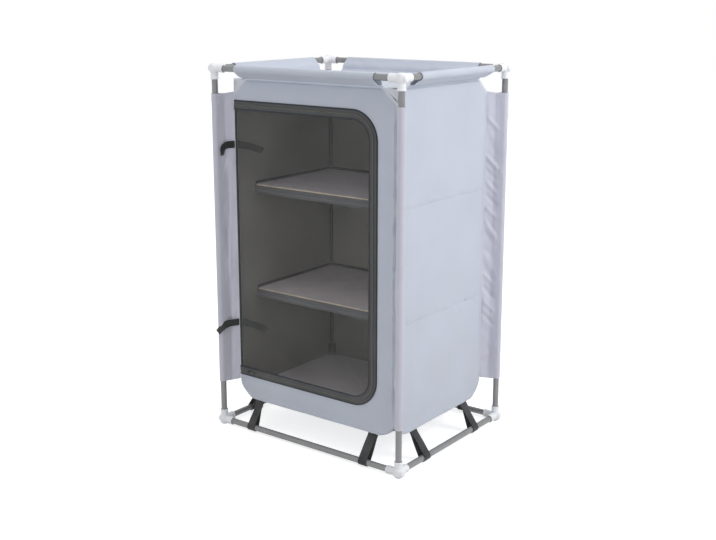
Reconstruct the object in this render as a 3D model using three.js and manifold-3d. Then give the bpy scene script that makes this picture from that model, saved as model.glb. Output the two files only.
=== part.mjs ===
// Portable fabric wardrobe: a plug-together tube frame that carries a hanging cloth cabinet.
// Millimetres, +X to the right, +Y to the back, +Z up. The origin is on the ground under the centre.
import * as THREE from "three";
import Module from "manifold-3d";
import { mergeVertices } from "three/addons/utils/BufferGeometryUtils.js";

const wasm = await Module();
wasm.setup();

// Frame, measured between the centre lines of the tubes
const frameWidth = 600;
const frameDepth = 480;
const frameHeight = 980;
const tubeDiameter = 16;
const tubeWall = 1;

// Moulded three-way corner
const footHeight = 13;
const coreRadius = 13;
const coreRound = 5;
const socketWall = 1.7;
const socketClearance = 0.4;
const socketFloor = 11;
const railArm = 34;
const uprightArm = 29;
const collarLength = 5;
const collarHeight = 0.9;
const collarChamfer = 0.8;
const ringWidth = 2.4;
const ringHeight = 0.7;
const ringSpacing = 9;
const plugRadius = 9.2;
const plugLength = 17.5;
const plugDome = 3.5;

// Cloth cabinet, hung inside the frame: its gap to the tubes' centre lines on each side
const cabinetGap = 34;
const cabinetLift = 67;
const cabinetSink = 27;
const cloth = 1.2;
const seamGap = 0.3;
const edgeRadius = 2.6;
const bottomRadius = 50;
const bottomLift = 16;
const taperHeight = 46;
const cornerCutWidth = 42;
const cornerCutHeight = 35;
const floorLift = 16;
const ceilingDrop = 1;
const ceilingHem = 9;

// Sleeves on the rails and on the uprights
const sleeveClearance = 1;
const railSleeveJoin = 6;
const wingSeam = 17;
const frontSleeveInset = 77;
const sideSleeveInset = 73;
const sideSleeveDraw = 4;
const wingFootInset = 114;
const wingTopInset = 66;
const wingFootRise = 4;
const wingTopRise = 4;

// Shelves
const shelfCount = 2;
const boardThickness = 3;
const boardMargin = 3;
const boardCorner = 8;
const shelfLip = 21;
const shelfFrontSetback = 72;
const floorBoardMargin = 8;
const floorBoardCorner = 58;

// Webbing loops under the cabinet
const webbingWidth = 25;
const webbing = 1.5;
const webbingInset = 3;
const frontLoopInset = 74;
const sideLoopInset = 86;
const loopClearance = 0.5;
const loopJoin = 6;

// Door and zip
const doorTopInset = 56;
const doorBottomInset = 64;
const doorRightInset = 58;
const doorRadius = 78;
const hingeInset = 0.4;
const hingeStrip = 7;
const tapeWidth = 13;
const tapeThickness = 1;
const meshThickness = 0.8;
const zipSlot = 0.8;
const openingLap = 2;

// Zip slider and pull
const sliderLength = 13;
const sliderShoulder = 4;
const sliderNose = 6;
const sliderWidth = 9.6;
const sliderThickness = 3.4;
const sliderFromHinge = 34;
const channelWidth = 5.2;
const channelDepth = 1.6;
const bailLength = 8;
const bailInside = 2.6;
const bailWidth = 2;
const bailWall = 1;
const pullLength = 20;
const pullWidth = 7;
const pullRound = 2.4;
const pullBar = 1.4;
const pullGap = 0.5;

// Ribbon ties that hold the rolled door
const ribbonWidth = 19;
const ribbonThickness = 1;
const upperTieInset = 119;
const lowerTieInset = 152;
const outerTieLength = 52;
const innerTieLength = 84;
const outerTieDrop = 34;
const innerTieDrop = 12;
const tieLift = 11;
const innerTieSag = 13;

// Facets
const tubeSides = 16;
const sleeveArcSides = 11;
const cornerArcSides = 4;
const doorArcSides = 8;
const taperRows = 4;
const ribbonSteps = 8;

// Clearance between pieces that touch, and how far a cutting tool runs past what it cuts
const seat = 0.3;
const overrun = 2;

// Cabinet worked out from the frame
const lowRail = footHeight;
const highRail = footHeight + frameHeight;
const cabinetWidth = frameWidth - 2 * cabinetGap;
const cabinetDepth = frameDepth - 2 * cabinetGap;
const cabinetBottom = lowRail + cabinetLift;
const cabinetTop = highRail - cabinetSink;

const materials = {
  tube: new THREE.MeshStandardMaterial({ color: 0x8e8f8c, roughness: 0.42, metalness: 0.55 }),
  connector: new THREE.MeshStandardMaterial({ color: 0xe6edf2, roughness: 0.5, metalness: 0 }),
  wall: new THREE.MeshStandardMaterial({ color: 0xb9bfcb, roughness: 0.9, metalness: 0 }),
  wing: new THREE.MeshStandardMaterial({ color: 0xb0adbc, roughness: 0.9, metalness: 0 }),
  board: new THREE.MeshStandardMaterial({ color: 0x97836f, roughness: 0.75, metalness: 0 }),
  webbing: new THREE.MeshStandardMaterial({ color: 0x35353a, roughness: 0.8, metalness: 0 }),
  mesh: new THREE.MeshStandardMaterial({ color: 0x4a4a4c, roughness: 0.85, metalness: 0 }),
  tape: new THREE.MeshStandardMaterial({ color: 0x3c4046, roughness: 0.8, metalness: 0 }),
  zip: new THREE.MeshStandardMaterial({ color: 0x2c2d30, roughness: 0.4, metalness: 0.5 }),
};

const model = new THREE.Group();

// Adds one named piece, with a copy of its material so that each piece can be recoloured alone.
function addPiece(name, geometry, material) {
  const piece = new THREE.Mesh(geometry, material.clone());
  piece.name = name;
  model.add(piece);
  return piece;
}

// Joins the vertices that a geometry class repeats along its seams.
function welded(geometry) {
  const bare = geometry.clone();
  bare.deleteAttribute("normal");
  bare.deleteAttribute("uv");
  const merged = mergeVertices(bare);
  merged.computeVertexNormals();
  return merged;
}

function toSolid(geometry) {
  const merged = welded(geometry);
  return new wasm.Manifold(new wasm.Mesh({
    numProp: 3,
    vertProperties: new Float32Array(merged.attributes.position.array),
    triVerts: new Uint32Array(merged.index.array),
  }));
}

function toGeometry(solid) {
  const mesh = solid.getMesh();
  const geometry = new THREE.BufferGeometry();
  geometry.setAttribute("position", new THREE.BufferAttribute(new Float32Array(mesh.vertProperties), 3));
  geometry.setIndex(new THREE.BufferAttribute(new Uint32Array(mesh.triVerts), 1));
  geometry.computeVertexNormals();
  return geometry;
}

// Turned shape along +Z from a profile of [radius, height] pairs.
function turned(profile) {
  const points = profile.map(([radius, height]) => new THREE.Vector2(radius, height));
  return new THREE.LatheGeometry(points, tubeSides).rotateX(Math.PI / 2);
}

// A flat outline in the XZ plane, grown towards -Y.
function upright(shape, thickness) {
  return new THREE.ExtrudeGeometry(shape, { depth: thickness, bevelEnabled: false }).rotateX(Math.PI / 2);
}

// A flat outline in the XY plane, grown towards +Z.
function level(shape, thickness) {
  return new THREE.ExtrudeGeometry(shape, { depth: thickness, bevelEnabled: false });
}

function shapeOf(points) {
  return new THREE.Shape(points.map(([x, y]) => new THREE.Vector2(x, y)));
}

// Points of a quarter-turn or part of it, from one angle to another.
function arcPoints(centreX, centreY, radius, from, to, sides) {
  const points = [];
  for (let side = 0; side <= sides; side += 1) {
    const angle = from + ((to - from) * side) / sides;
    points.push([centreX + radius * Math.cos(angle), centreY + radius * Math.sin(angle)]);
  }
  return points;
}

function roundedRectangle(width, depth, radius, sides) {
  const x = width / 2 - radius;
  const y = depth / 2 - radius;
  const quarter = Math.PI / 2;
  return shapeOf([
    ...arcPoints(x, y, radius, 0, quarter, sides),
    ...arcPoints(-x, y, radius, quarter, 2 * quarter, sides),
    ...arcPoints(-x, -y, radius, 2 * quarter, 3 * quarter, sides),
    ...arcPoints(x, -y, radius, 3 * quarter, 4 * quarter, sides),
  ]);
}

// Closed sheet from two grids of the same size: outer[row][column] and inner[row][column].
function sheetBetween(outer, inner) {
  const rows = outer.length;
  const columns = outer[0].length;
  const positions = [...outer.flat(), ...inner.flat()].flat();
  const faces = [];
  const at = (row, column) => row * columns + column;
  const under = rows * columns;
  const quad = (a, b, c, d) => faces.push(a, b, c, a, c, d);
  for (let row = 0; row < rows - 1; row += 1) {
    for (let column = 0; column < columns - 1; column += 1) {
      const [a, b] = [at(row, column), at(row, column + 1)];
      const [c, d] = [at(row + 1, column + 1), at(row + 1, column)];
      quad(a, b, c, d);
      quad(under + d, under + c, under + b, under + a);
    }
  }
  for (let column = 0; column < columns - 1; column += 1) {
    const [a, b] = [at(0, column), at(0, column + 1)];
    const [c, d] = [at(rows - 1, column), at(rows - 1, column + 1)];
    quad(under + a, under + b, b, a);
    quad(c, d, under + d, under + c);
  }
  for (let row = 0; row < rows - 1; row += 1) {
    const [a, b] = [at(row, 0), at(row + 1, 0)];
    const [c, d] = [at(row, columns - 1), at(row + 1, columns - 1)];
    quad(a, b, under + b, under + a);
    quad(under + c, under + d, d, c);
  }
  const geometry = new THREE.BufferGeometry();
  geometry.setAttribute("position", new THREE.Float32BufferAttribute(positions, 3));
  geometry.setIndex(faces);
  geometry.computeVertexNormals();
  return geometry;
}

// Frame: hollow tubes and moulded corners
const tubeRadius = tubeDiameter / 2;
const boreRadius = tubeRadius + socketClearance;
const socketRadius = boreRadius + socketWall;
const tubeInset = socketFloor + seat;

function tube(length) {
  const inner = tubeRadius - tubeWall;
  const half = length / 2 - tubeInset;
  const section = [[inner, -half], [tubeRadius, -half], [tubeRadius, half], [inner, half], [inner, -half]];
  return welded(turned(section));
}

// One socket of the corner: a barrel with a stiffening collar at its mouth and a ring rib behind it.
function socketBarrel(length) {
  const collarRadius = socketRadius + collarHeight;
  const ringRadius = socketRadius + ringHeight;
  const ring = length - collarLength / 2 - ringSpacing;
  return turned([
    [0, 0],
    [socketRadius, 0],
    [socketRadius, ring - ringWidth / 2],
    [ringRadius, ring - ringWidth / 2 + ringHeight],
    [ringRadius, ring + ringWidth / 2 - ringHeight],
    [socketRadius, ring + ringWidth / 2],
    [socketRadius, length - collarLength],
    [collarRadius, length - collarLength + collarChamfer],
    [collarRadius, length - collarChamfer],
    [socketRadius, length],
    [0, length],
  ]);
}

function socketBore(length) {
  const mouth = length + overrun;
  return turned([[0, socketFloor], [boreRadius, socketFloor], [boreRadius, mouth], [0, mouth]]);
}

// Ball-like core, flat above and below so that the lower corners stand on it.
function cornerCore() {
  const quarter = Math.PI / 2;
  const flat = coreRadius - coreRound;
  const rise = footHeight - coreRound;
  const lower = arcPoints(flat, -rise, coreRound, -quarter, 0, 2);
  const upper = arcPoints(flat, rise, coreRound, 0, quarter, 2);
  return turned([[0, -footHeight], ...lower, ...upper, [0, footHeight]]);
}

// Blind round plug that closes the outer end of the cross barrel.
function cornerPlug() {
  return turned([
    [0, 0],
    [plugRadius, 0],
    [plugRadius, plugLength - plugDome],
    [plugRadius - plugDome / 2, plugLength - plugDome / 4],
    [0, plugLength],
  ]);
}

function aimed(geometry, direction) {
  const turn = new THREE.Quaternion().setFromUnitVectors(new THREE.Vector3(0, 0, 1), direction);
  return geometry.applyQuaternion(turn);
}

// Corner whose sockets look along towardX, towardY and towardZ, each +1 or -1.
function corner(towardX, towardY, towardZ) {
  const alongX = new THREE.Vector3(towardX, 0, 0);
  const alongY = new THREE.Vector3(0, towardY, 0);
  const alongZ = new THREE.Vector3(0, 0, towardZ);
  const arms = [[alongX, railArm], [alongY, railArm], [alongZ, uprightArm]];
  let solid = toSolid(cornerCore());
  solid = solid.add(toSolid(aimed(cornerPlug(), alongX.clone().negate())));
  for (const [direction, length] of arms) {
    solid = solid.add(toSolid(aimed(socketBarrel(length), direction)));
  }
  for (const [direction, length] of arms) {
    solid = solid.subtract(toSolid(aimed(socketBore(length), direction)));
  }
  return toGeometry(solid);
}

const sides = [
  { side: "left", x: -1 },
  { side: "right", x: 1 },
];
const ends = [
  { end: "front", y: -1 },
  { end: "rear", y: 1 },
];
const levels = [
  { place: "bottom", z: lowRail, toward: 1 },
  { place: "top", z: highRail, toward: -1 },
];

for (const { side, x } of sides) {
  for (const { end, y } of ends) {
    const post = addPiece(`upright_${end}_${side}`, tube(frameHeight), materials.tube);
    post.position.set((x * frameWidth) / 2, (y * frameDepth) / 2, lowRail + frameHeight / 2);
    for (const { place, z, toward } of levels) {
      const joint = addPiece(`corner_${place}_${end}_${side}`, corner(-x, -y, toward), materials.connector);
      joint.position.set((x * frameWidth) / 2, (y * frameDepth) / 2, z);
    }
  }
}
for (const { place, z } of levels) {
  for (const { end, y } of ends) {
    const rail = addPiece(`${place}_rail_${end}`, tube(frameWidth).rotateY(Math.PI / 2), materials.tube);
    rail.position.set(0, (y * frameDepth) / 2, z);
  }
  for (const { side, x } of sides) {
    const rail = addPiece(`${place}_rail_${side}`, tube(frameDepth).rotateX(Math.PI / 2), materials.tube);
    rail.position.set((x * frameWidth) / 2, 0, z);
  }
}

// Cabinet walls. A wall is drawn as the front one, facing -Y, and turned about Z to its side.
const eighth = Math.PI / 4;

// Radius of the vertical corner, and height of a wall's lower edge, as the share goes from 0 to 1.
function cornerRadius(downShare) {
  return edgeRadius + (bottomRadius - edgeRadius) * downShare * downShare;
}

function lowerEdge(turn) {
  return cabinetBottom + bottomLift * (Math.abs(turn) / eighth) ** 1.5;
}

// Outline of one wall at one height: from the middle of one corner to the middle of the next.
function wallRow(halfWidth, halfDepth, downShare, inset) {
  const radius = cornerRadius(downShare);
  const row = [];
  for (const end of [-1, 1]) {
    for (let step = 0; step <= cornerArcSides; step += 1) {
      const share = end < 0 ? 1 - step / cornerArcSides : step / cornerArcSides;
      const turn = end * eighth * share;
      const along = end * (halfWidth - seamGap - radius) + (radius - inset) * Math.sin(turn);
      const outward = halfDepth - radius + (radius - inset) * Math.cos(turn);
      row.push({ along, outward, turn });
    }
  }
  return row;
}

function wallGrid(halfWidth, halfDepth, inset) {
  const taperTop = cabinetBottom + taperHeight;
  const place = ({ along, outward }, height) => [along, -outward, height];
  const grid = [wallRow(halfWidth, halfDepth, 0, inset).map((point) => place(point, cabinetTop))];
  for (let row = 0; row <= taperRows; row += 1) {
    const share = row / taperRows;
    const points = wallRow(halfWidth, halfDepth, share, inset);
    grid.push(points.map((point) => place(point, taperTop + (lowerEdge(point.turn) - taperTop) * share)));
  }
  return grid.reverse();
}

// The top of a corner seam is left open, and the corner of the wall there is cut off slantwise. The end is
// 1 for the right-hand corner and -1 for the left-hand one.
function cornerCut(end, halfWidth, halfDepth) {
  const start = end * (halfWidth - cornerCutWidth);
  const corner = end * halfWidth;
  const outside = end * (halfWidth + overrun);
  const outline = shapeOf([
    [start, cabinetTop],
    [corner, cabinetTop - cornerCutHeight],
    [outside, cabinetTop - cornerCutHeight],
    [outside, cabinetTop + overrun],
    [start, cabinetTop + overrun],
  ]);
  const depth = edgeRadius + 2 * overrun;
  return upright(outline, depth).translate(0, depth - overrun - halfDepth, 0);
}

function wallSolid(halfWidth, halfDepth, cutEnds) {
  const outer = wallGrid(halfWidth, halfDepth, 0);
  const inner = wallGrid(halfWidth, halfDepth, cloth);
  const whole = toSolid(sheetBetween(outer, inner));
  const cuts = cutEnds.map((end) => toSolid(cornerCut(end, halfWidth, halfDepth)));
  return cuts.reduce((rest, cut) => rest.subtract(cut), whole);
}

// Edge of the door from its top left corner round to its bottom left corner, drawn in by an inset.
const hingeX = -(cabinetWidth / 2 - edgeRadius - hingeInset);
const doorTop = cabinetTop - doorTopInset;
const doorBottom = cabinetBottom + doorBottomInset;
const doorRight = cabinetWidth / 2 - doorRightInset;

function doorEdge(inset, left = hingeX) {
  const radius = doorRadius - inset;
  const right = doorRight - doorRadius;
  const quarter = Math.PI / 2;
  return [
    [left, doorTop - inset],
    ...arcPoints(right, doorTop - doorRadius, radius, quarter, 0, doorArcSides),
    ...arcPoints(right, doorBottom + doorRadius, radius, 0, -quarter, doorArcSides),
    [left, doorBottom + inset],
  ];
}

function zipBand(outerInset, innerInset) {
  return shapeOf([...doorEdge(outerInset), ...doorEdge(innerInset).reverse()]);
}

const openingInset = tapeWidth - openingLap;

function doorwayCut() {
  const outline = shapeOf(doorEdge(openingInset, hingeX + hingeStrip));
  const depth = cloth + 2 * overrun;
  return upright(outline, depth).translate(0, depth - overrun - cabinetDepth / 2, 0);
}

const walls = [
  { name: "front", halfWidth: cabinetWidth / 2, halfDepth: cabinetDepth / 2, cutEnds: [-1, 1] },
  { name: "right", halfWidth: cabinetDepth / 2, halfDepth: cabinetWidth / 2, cutEnds: [1] },
  { name: "rear", halfWidth: cabinetWidth / 2, halfDepth: cabinetDepth / 2, cutEnds: [-1, 1] },
  { name: "left", halfWidth: cabinetDepth / 2, halfDepth: cabinetWidth / 2, cutEnds: [-1] },
];

// The side walls are cut at the rear end only, where the photograph shows it.
walls.forEach(({ name, halfWidth, halfDepth, cutEnds }, quarterTurns) => {
  let solid = wallSolid(halfWidth, halfDepth, cutEnds);
  if (name === "front") solid = solid.subtract(toSolid(doorwayCut()));
  const wall = addPiece(`wall_${name}`, toGeometry(solid), materials.wall);
  wall.rotation.z = (quarterTurns * Math.PI) / 2;
});

// Ceiling: a flat sheet just below the top of the walls, with its hem turned down inside them
const wallInset = cloth + seat;

function ceilingSheet() {
  const width = cabinetWidth - 2 * wallInset;
  const depth = cabinetDepth - 2 * wallInset;
  const tray = roundedRectangle(width, depth, edgeRadius - cloth, 1);
  const hollow = roundedRectangle(width - 2 * cloth, depth - 2 * cloth, cloth / 2, 1);
  const cut = level(hollow, ceilingHem - cloth + overrun).translate(0, 0, -overrun);
  return toGeometry(toSolid(level(tray, ceilingHem)).subtract(toSolid(cut)));
}

const ceiling = addPiece("ceiling", ceilingSheet(), materials.wall);
ceiling.position.z = cabinetTop - ceilingDrop - ceilingHem;

// Floor cloth: flat, a little above the walls' lower edges, and cut to the walls at that height
const floorHeight = cabinetBottom + floorLift;

function floorOutline() {
  const quarter = Math.PI / 2;
  const taperTop = cabinetBottom + taperHeight;
  const corners = [[1, 1], [-1, 1], [-1, -1], [1, -1]];
  const points = corners.flatMap(([x, y], corner) => {
    const run = [];
    for (let step = 0; step <= 2 * cornerArcSides; step += 1) {
      const angle = quarter * (corner + step / (2 * cornerArcSides));
      const turn = eighth - Math.abs(angle - quarter * corner - eighth);
      const share = (taperTop - floorHeight) / (taperTop - lowerEdge(turn));
      const radius = cornerRadius(share) + 2 * cloth;
      run.push([
        x * (cabinetWidth / 2 - radius) + (radius - wallInset) * Math.cos(angle),
        y * (cabinetDepth / 2 - radius) + (radius - wallInset) * Math.sin(angle),
      ]);
    }
    return run;
  });
  return shapeOf(points);
}

const floorCloth = addPiece("floor_cloth", level(floorOutline(), cloth), materials.wall);
floorCloth.position.z = floorHeight;

// Loop of cloth or webbing round a tube, drawn in the plane across the tube. The tube's centre is the
// origin, the two layers meet at join, and a single layer runs on along +X to its end.
function loopShape(inside, thickness, join, end) {
  const outside = inside + thickness;
  const half = thickness / 2;
  const turn = Math.atan2(half, join) + Math.acos(outside / Math.hypot(join, half));
  const around = 2 * Math.PI - turn;
  const shape = shapeOf([
    [end, -half],
    [end, half],
    [join, half],
    ...arcPoints(0, 0, outside, turn, around, sleeveArcSides),
    [join, -half],
  ]);
  shape.holes.push(shapeOf([
    [inside / Math.cos(turn), 0],
    ...arcPoints(0, 0, inside, around, turn, sleeveArcSides),
  ]));
  return shape;
}

// Lays a loop along a tube. The tail points from centre to target, and its two layers meet at join. Its two
// ends may be drawn in or out by the shifts, which grow from nothing at shiftStart to the tail's end.
function loopAlong({ centre, target, direction, width, inside, thickness, join, shiftStart, shifts }) {
  const tail = target.clone().sub(centre);
  const end = tail.length();
  const geometry = level(loopShape(inside, thickness, join, end), width);
  const points = geometry.attributes.position;
  for (let index = 0; index < points.count; index += 1) {
    const share = Math.max((points.getX(index) - shiftStart) / (end - shiftStart), 0);
    const shift = points.getZ(index) > width / 2 ? shifts[1] : shifts[0];
    points.setZ(index, points.getZ(index) - width / 2 + shift * share);
  }
  tail.normalize();
  const across = direction.clone().cross(tail);
  geometry.applyMatrix4(new THREE.Matrix4().makeBasis(tail, across, direction).setPosition(centre));
  return geometry;
}

const sleeveInside = tubeRadius + sleeveClearance;

// Flap of one side: two layers of cloth that go round the top rail and slope down to the top edge of the
// wall, where they are sewn together.
function railSleeve(halfFrame, halfCabinet, width, draw) {
  const centre = new THREE.Vector3(0, -halfFrame, highRail);
  const target = new THREE.Vector3(0, cloth / 2 - halfCabinet, cabinetTop + seat + cloth / 2);
  return loopAlong({
    centre,
    target,
    direction: new THREE.Vector3(1, 0, 0),
    width,
    inside: sleeveInside,
    thickness: cloth,
    join: centre.distanceTo(target) - railSleeveJoin,
    shiftStart: sleeveInside,
    shifts: [draw, -draw],
  });
}

// Loop of webbing from the lower edge of one side round its bottom rail.
function webbingLoop(halfFrame, halfCabinet, along) {
  return loopAlong({
    centre: new THREE.Vector3(along, -halfFrame, lowRail),
    target: new THREE.Vector3(along, webbingInset - halfCabinet, cabinetBottom - seat - webbing / 2),
    direction: new THREE.Vector3(1, 0, 0),
    width: webbingWidth,
    inside: tubeRadius + loopClearance,
    thickness: webbing,
    join: Math.hypot(halfFrame - halfCabinet, cabinetBottom - lowRail) - loopJoin,
    shiftStart: 0,
    shifts: [0, 0],
  });
}

const sideRuns = [
  { name: "front", halfFrame: frameDepth / 2, halfCabinet: cabinetDepth / 2, long: true },
  { name: "right", halfFrame: frameWidth / 2, halfCabinet: cabinetWidth / 2, long: false },
  { name: "rear", halfFrame: frameDepth / 2, halfCabinet: cabinetDepth / 2, long: true },
  { name: "left", halfFrame: frameWidth / 2, halfCabinet: cabinetWidth / 2, long: false },
];

sideRuns.forEach(({ name, halfFrame, halfCabinet, long }, quarterTurns) => {
  const turn = (quarterTurns * Math.PI) / 2;
  const width = long ? frameWidth - 2 * frontSleeveInset : frameDepth - 2 * sideSleeveInset;
  const draw = long ? 0 : sideSleeveDraw;
  const sleeve = addPiece(`sleeve_${name}`, railSleeve(halfFrame, halfCabinet, width, draw), materials.wall);
  sleeve.rotation.z = turn;
  const reach = long ? cabinetWidth / 2 - frontLoopInset : cabinetDepth / 2 - sideLoopInset;
  [-1, 1].forEach((end, index) => {
    const loop = webbingLoop(halfFrame, halfCabinet, end * reach);
    const piece = addPiece(`strap_${name}_${index + 1}`, loop, materials.webbing);
    piece.rotation.z = turn;
  });
});

// Wings: from each vertical corner of the cabinet out to a sleeve on the upright
const cornerSetback = edgeRadius * (1 - Math.SQRT1_2) + seamGap * Math.SQRT1_2 - seat * Math.SQRT1_2;

function wing(x, y) {
  const foot = lowRail + wingFootInset;
  const height = highRail - wingTopInset - foot;
  const middle = foot + height / 2;
  const reachX = cabinetWidth / 2 - cornerSetback + seat;
  const reachY = cabinetDepth / 2 - cornerSetback + seat;
  return loopAlong({
    centre: new THREE.Vector3((x * frameWidth) / 2, (y * frameDepth) / 2, middle),
    target: new THREE.Vector3(x * reachX, y * reachY, middle),
    direction: new THREE.Vector3(0, 0, 1),
    width: height,
    inside: sleeveInside,
    thickness: cloth,
    join: wingSeam,
    shiftStart: wingSeam,
    shifts: [wingFootRise, wingTopRise],
  });
}

for (const { side, x } of sides) {
  for (const { end, y } of ends) {
    addPiece(`wing_${end}_${side}`, wing(x, y), materials.wing);
  }
}

// Shelves: equal spaces from the floor to the ceiling
const shelfStep = (cabinetTop - cabinetBottom) / (shelfCount + 1);
const shelfNames = ["lower", "upper"];
const shelfWidth = cabinetWidth - 2 * wallInset;
const shelfRear = cabinetDepth / 2 - edgeRadius - seat;
const shelfFront = -(cabinetDepth / 2 - wallInset - shelfFrontSetback);

// Shelf cloth, drawn from the side: flat, then turned down into a lip along the front edge.
function shelfCloth() {
  const profile = shapeOf([
    [shelfFront, -shelfLip],
    [shelfFront + cloth, -shelfLip],
    [shelfFront + cloth, -cloth],
    [shelfRear, -cloth],
    [shelfRear, 0],
    [shelfFront + cloth, 0],
    [shelfFront, -cloth],
  ]);
  const along = new THREE.Matrix4().makeBasis(
    new THREE.Vector3(0, 1, 0), new THREE.Vector3(0, 0, 1), new THREE.Vector3(1, 0, 0));
  return level(profile, shelfWidth).translate(0, 0, -shelfWidth / 2).applyMatrix4(along);
}

const shelfDepth = shelfRear - shelfFront;
for (let shelf = 1; shelf <= shelfCount; shelf += 1) {
  const name = shelfNames[shelf - 1] ?? `level_${shelf}`;
  const height = cabinetBottom + shelf * shelfStep;
  const clothPiece = addPiece(`shelf_cloth_${name}`, shelfCloth(), materials.wall);
  clothPiece.position.z = height;
  const boardShape = roundedRectangle(
    shelfWidth - 2 * boardMargin, shelfDepth - boardMargin, boardCorner, 2);
  const board = addPiece(`shelf_board_${name}`, level(boardShape, boardThickness), materials.board);
  board.position.set(0, shelfFront + (shelfDepth - boardMargin) / 2, height + seat);
}

const floorBoardShape = roundedRectangle(
  shelfWidth - 2 * floorBoardMargin, 2 * (shelfRear - floorBoardMargin), floorBoardCorner, 1);
const floorBoard = addPiece("floor_board", level(floorBoardShape, boardThickness), materials.board);
floorBoard.position.z = floorHeight + cloth + seat;

// Door: mesh sheet with its half of the zip tape. The other half is sewn to the front wall.
const wallFace = -cabinetDepth / 2;
const meshBack = wallFace - seat;
const meshFront = meshBack - meshThickness;
const tapeBack = meshFront - seat;
const tapeFront = tapeBack - tapeThickness;
const doorInset = tapeWidth + zipSlot / 2;

const wallTape = addPiece(
  "zip_tape_wall", upright(zipBand(0, tapeWidth - zipSlot / 2), meshBack - tapeFront), materials.tape);
wallTape.position.y = meshBack;

const doorMesh = addPiece("door_mesh", upright(shapeOf(doorEdge(doorInset)), meshThickness), materials.mesh);
doorMesh.position.y = meshBack;

const doorTape = addPiece(
  "zip_tape_door", upright(zipBand(doorInset, doorInset + tapeWidth), tapeThickness), materials.tape);
doorTape.position.y = tapeBack;

// Zip slider: a body with shoulders over the two rows of teeth, and a bail that holds the pull
const sliderX = hingeX + sliderFromHinge;
const sliderZ = doorBottom + tapeWidth;
const sliderBack = tapeFront - seat;

function rectangle(left, right, low, high) {
  return shapeOf([[left, low], [right, low], [right, high], [left, high]]);
}

// Plan of the slider: a narrow nose where the teeth leave it, and wide shoulders where they enter.
function sliderBody() {
  const half = sliderLength / 2;
  const outline = shapeOf([
    [-half, -sliderNose / 2],
    [0, -sliderNose / 2],
    [sliderShoulder, -sliderWidth / 2],
    [half, -sliderWidth / 2],
    [half, sliderWidth / 2],
    [sliderShoulder, sliderWidth / 2],
    [0, sliderNose / 2],
    [-half, sliderNose / 2],
  ]);
  const tunnel = rectangle(-half - overrun, half + overrun, -channelWidth / 2, channelWidth / 2);
  const cut = upright(tunnel, channelDepth + overrun).translate(0, overrun, 0);
  return toSolid(upright(outline, sliderThickness)).subtract(toSolid(cut));
}

// Arch along the slider, drawn from above and one bail width thick.
function bail() {
  const foot = bailLength / 2;
  const shoulder = foot - bailWall;
  const face = -sliderThickness;
  const outline = shapeOf([
    [-foot, face + bailWall],
    [foot, face + bailWall],
    [foot, face - bailInside],
    [shoulder, face - bailInside - bailWall],
    [-shoulder, face - bailInside - bailWall],
    [-foot, face - bailInside],
  ]);
  const eye = rectangle(-shoulder, shoulder, face - bailInside, face);
  const arch = toSolid(level(outline, bailWidth));
  const cut = toSolid(level(eye, bailWidth + 2 * overrun).translate(0, 0, -overrun));
  return toSolid(toGeometry(arch.subtract(cut)).translate(0, 0, -bailWidth / 2));
}

const zipSlider = addPiece("zip_slider", toGeometry(sliderBody().add(bail())), materials.zip);
zipSlider.position.set(sliderX, sliderBack, sliderZ);

// Pull: a tab whose slotted end goes round the bail, with a bar that turns under the arch.
function pullTab() {
  const bar = pullBar / 2;
  const slotEnd = Math.hypot(bailLength / 2, bailInside / 2 + bailWall) + pullGap;
  const outline = shapeOf([
    [-bar, -pullWidth / 2],
    ...arcPoints(pullLength - pullRound, pullRound - pullWidth / 2, pullRound, -Math.PI / 2, 0, 2),
    ...arcPoints(pullLength - pullRound, pullWidth / 2 - pullRound, pullRound, 0, Math.PI / 2, 2),
    [-bar, pullWidth / 2],
  ]);
  const slotHalf = bailWidth / 2 + pullGap;
  outline.holes.push(rectangle(bar, slotEnd, -slotHalf, slotHalf));
  return upright(outline, pullBar).translate(0, bar, 0);
}

const zipPull = addPiece("zip_pull", welded(pullTab()), materials.zip);
zipPull.position.set(sliderX, sliderBack - sliderThickness - bailInside / 2, sliderZ);

// Ribbon ties, sewn into the front left seam: outer ones over the wing, inner ones behind the mesh
const tieRoot = new THREE.Vector3(-cabinetWidth / 2, wallFace, 0);

// A ribbon that follows a path in the XY plane, given as share -> [x, y], and falls on its way.
function ribbon(path, height, drop) {
  const grids = [0, ribbonThickness].map((offset) => [-1, 1].map((edge) => {
    const row = [];
    for (let step = 0; step <= ribbonSteps; step += 1) {
      const share = step / ribbonSteps;
      const [x, y] = path(share);
      const [nextX, nextY] = path(share + 1 / ribbonSteps);
      const away = new THREE.Vector2(nextY - y, x - nextX).normalize().multiplyScalar(offset);
      row.push([x + away.x, y + away.y, height - drop * share * share + (edge * ribbonWidth) / 2]);
    }
    return row;
  }));
  return sheetBetween(grids[1], grids[0]);
}

// Outer tie: along the wing and over the sleeve on the upright.
function outerTiePath(share) {
  const along = outerTieLength * share;
  const lift = cloth / 2 + seat + ribbonThickness + tieLift * Math.sin((Math.PI / 2) * share);
  return [
    tieRoot.x - (along - lift) * Math.SQRT1_2,
    tieRoot.y - (along + lift) * Math.SQRT1_2,
  ];
}

// Inner tie: behind the front wall and the mesh, sagging into the cabinet.
function innerTiePath(share) {
  return [
    tieRoot.x + cloth + edgeRadius + innerTieLength * share,
    tieRoot.y + cloth + seat + ribbonThickness + innerTieSag * Math.sin((Math.PI / 2) * share) ** 2,
  ];
}

const ties = [
  { name: "upper", height: doorTop - upperTieInset },
  { name: "lower", height: doorBottom + lowerTieInset },
];
for (const { name, height } of ties) {
  addPiece(`tie_${name}_outer`, ribbon(outerTiePath, height, outerTieDrop), materials.webbing);
  addPiece(`tie_${name}_inner`, ribbon(innerTiePath, height, innerTieDrop), materials.webbing);
}

export default model;
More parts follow.
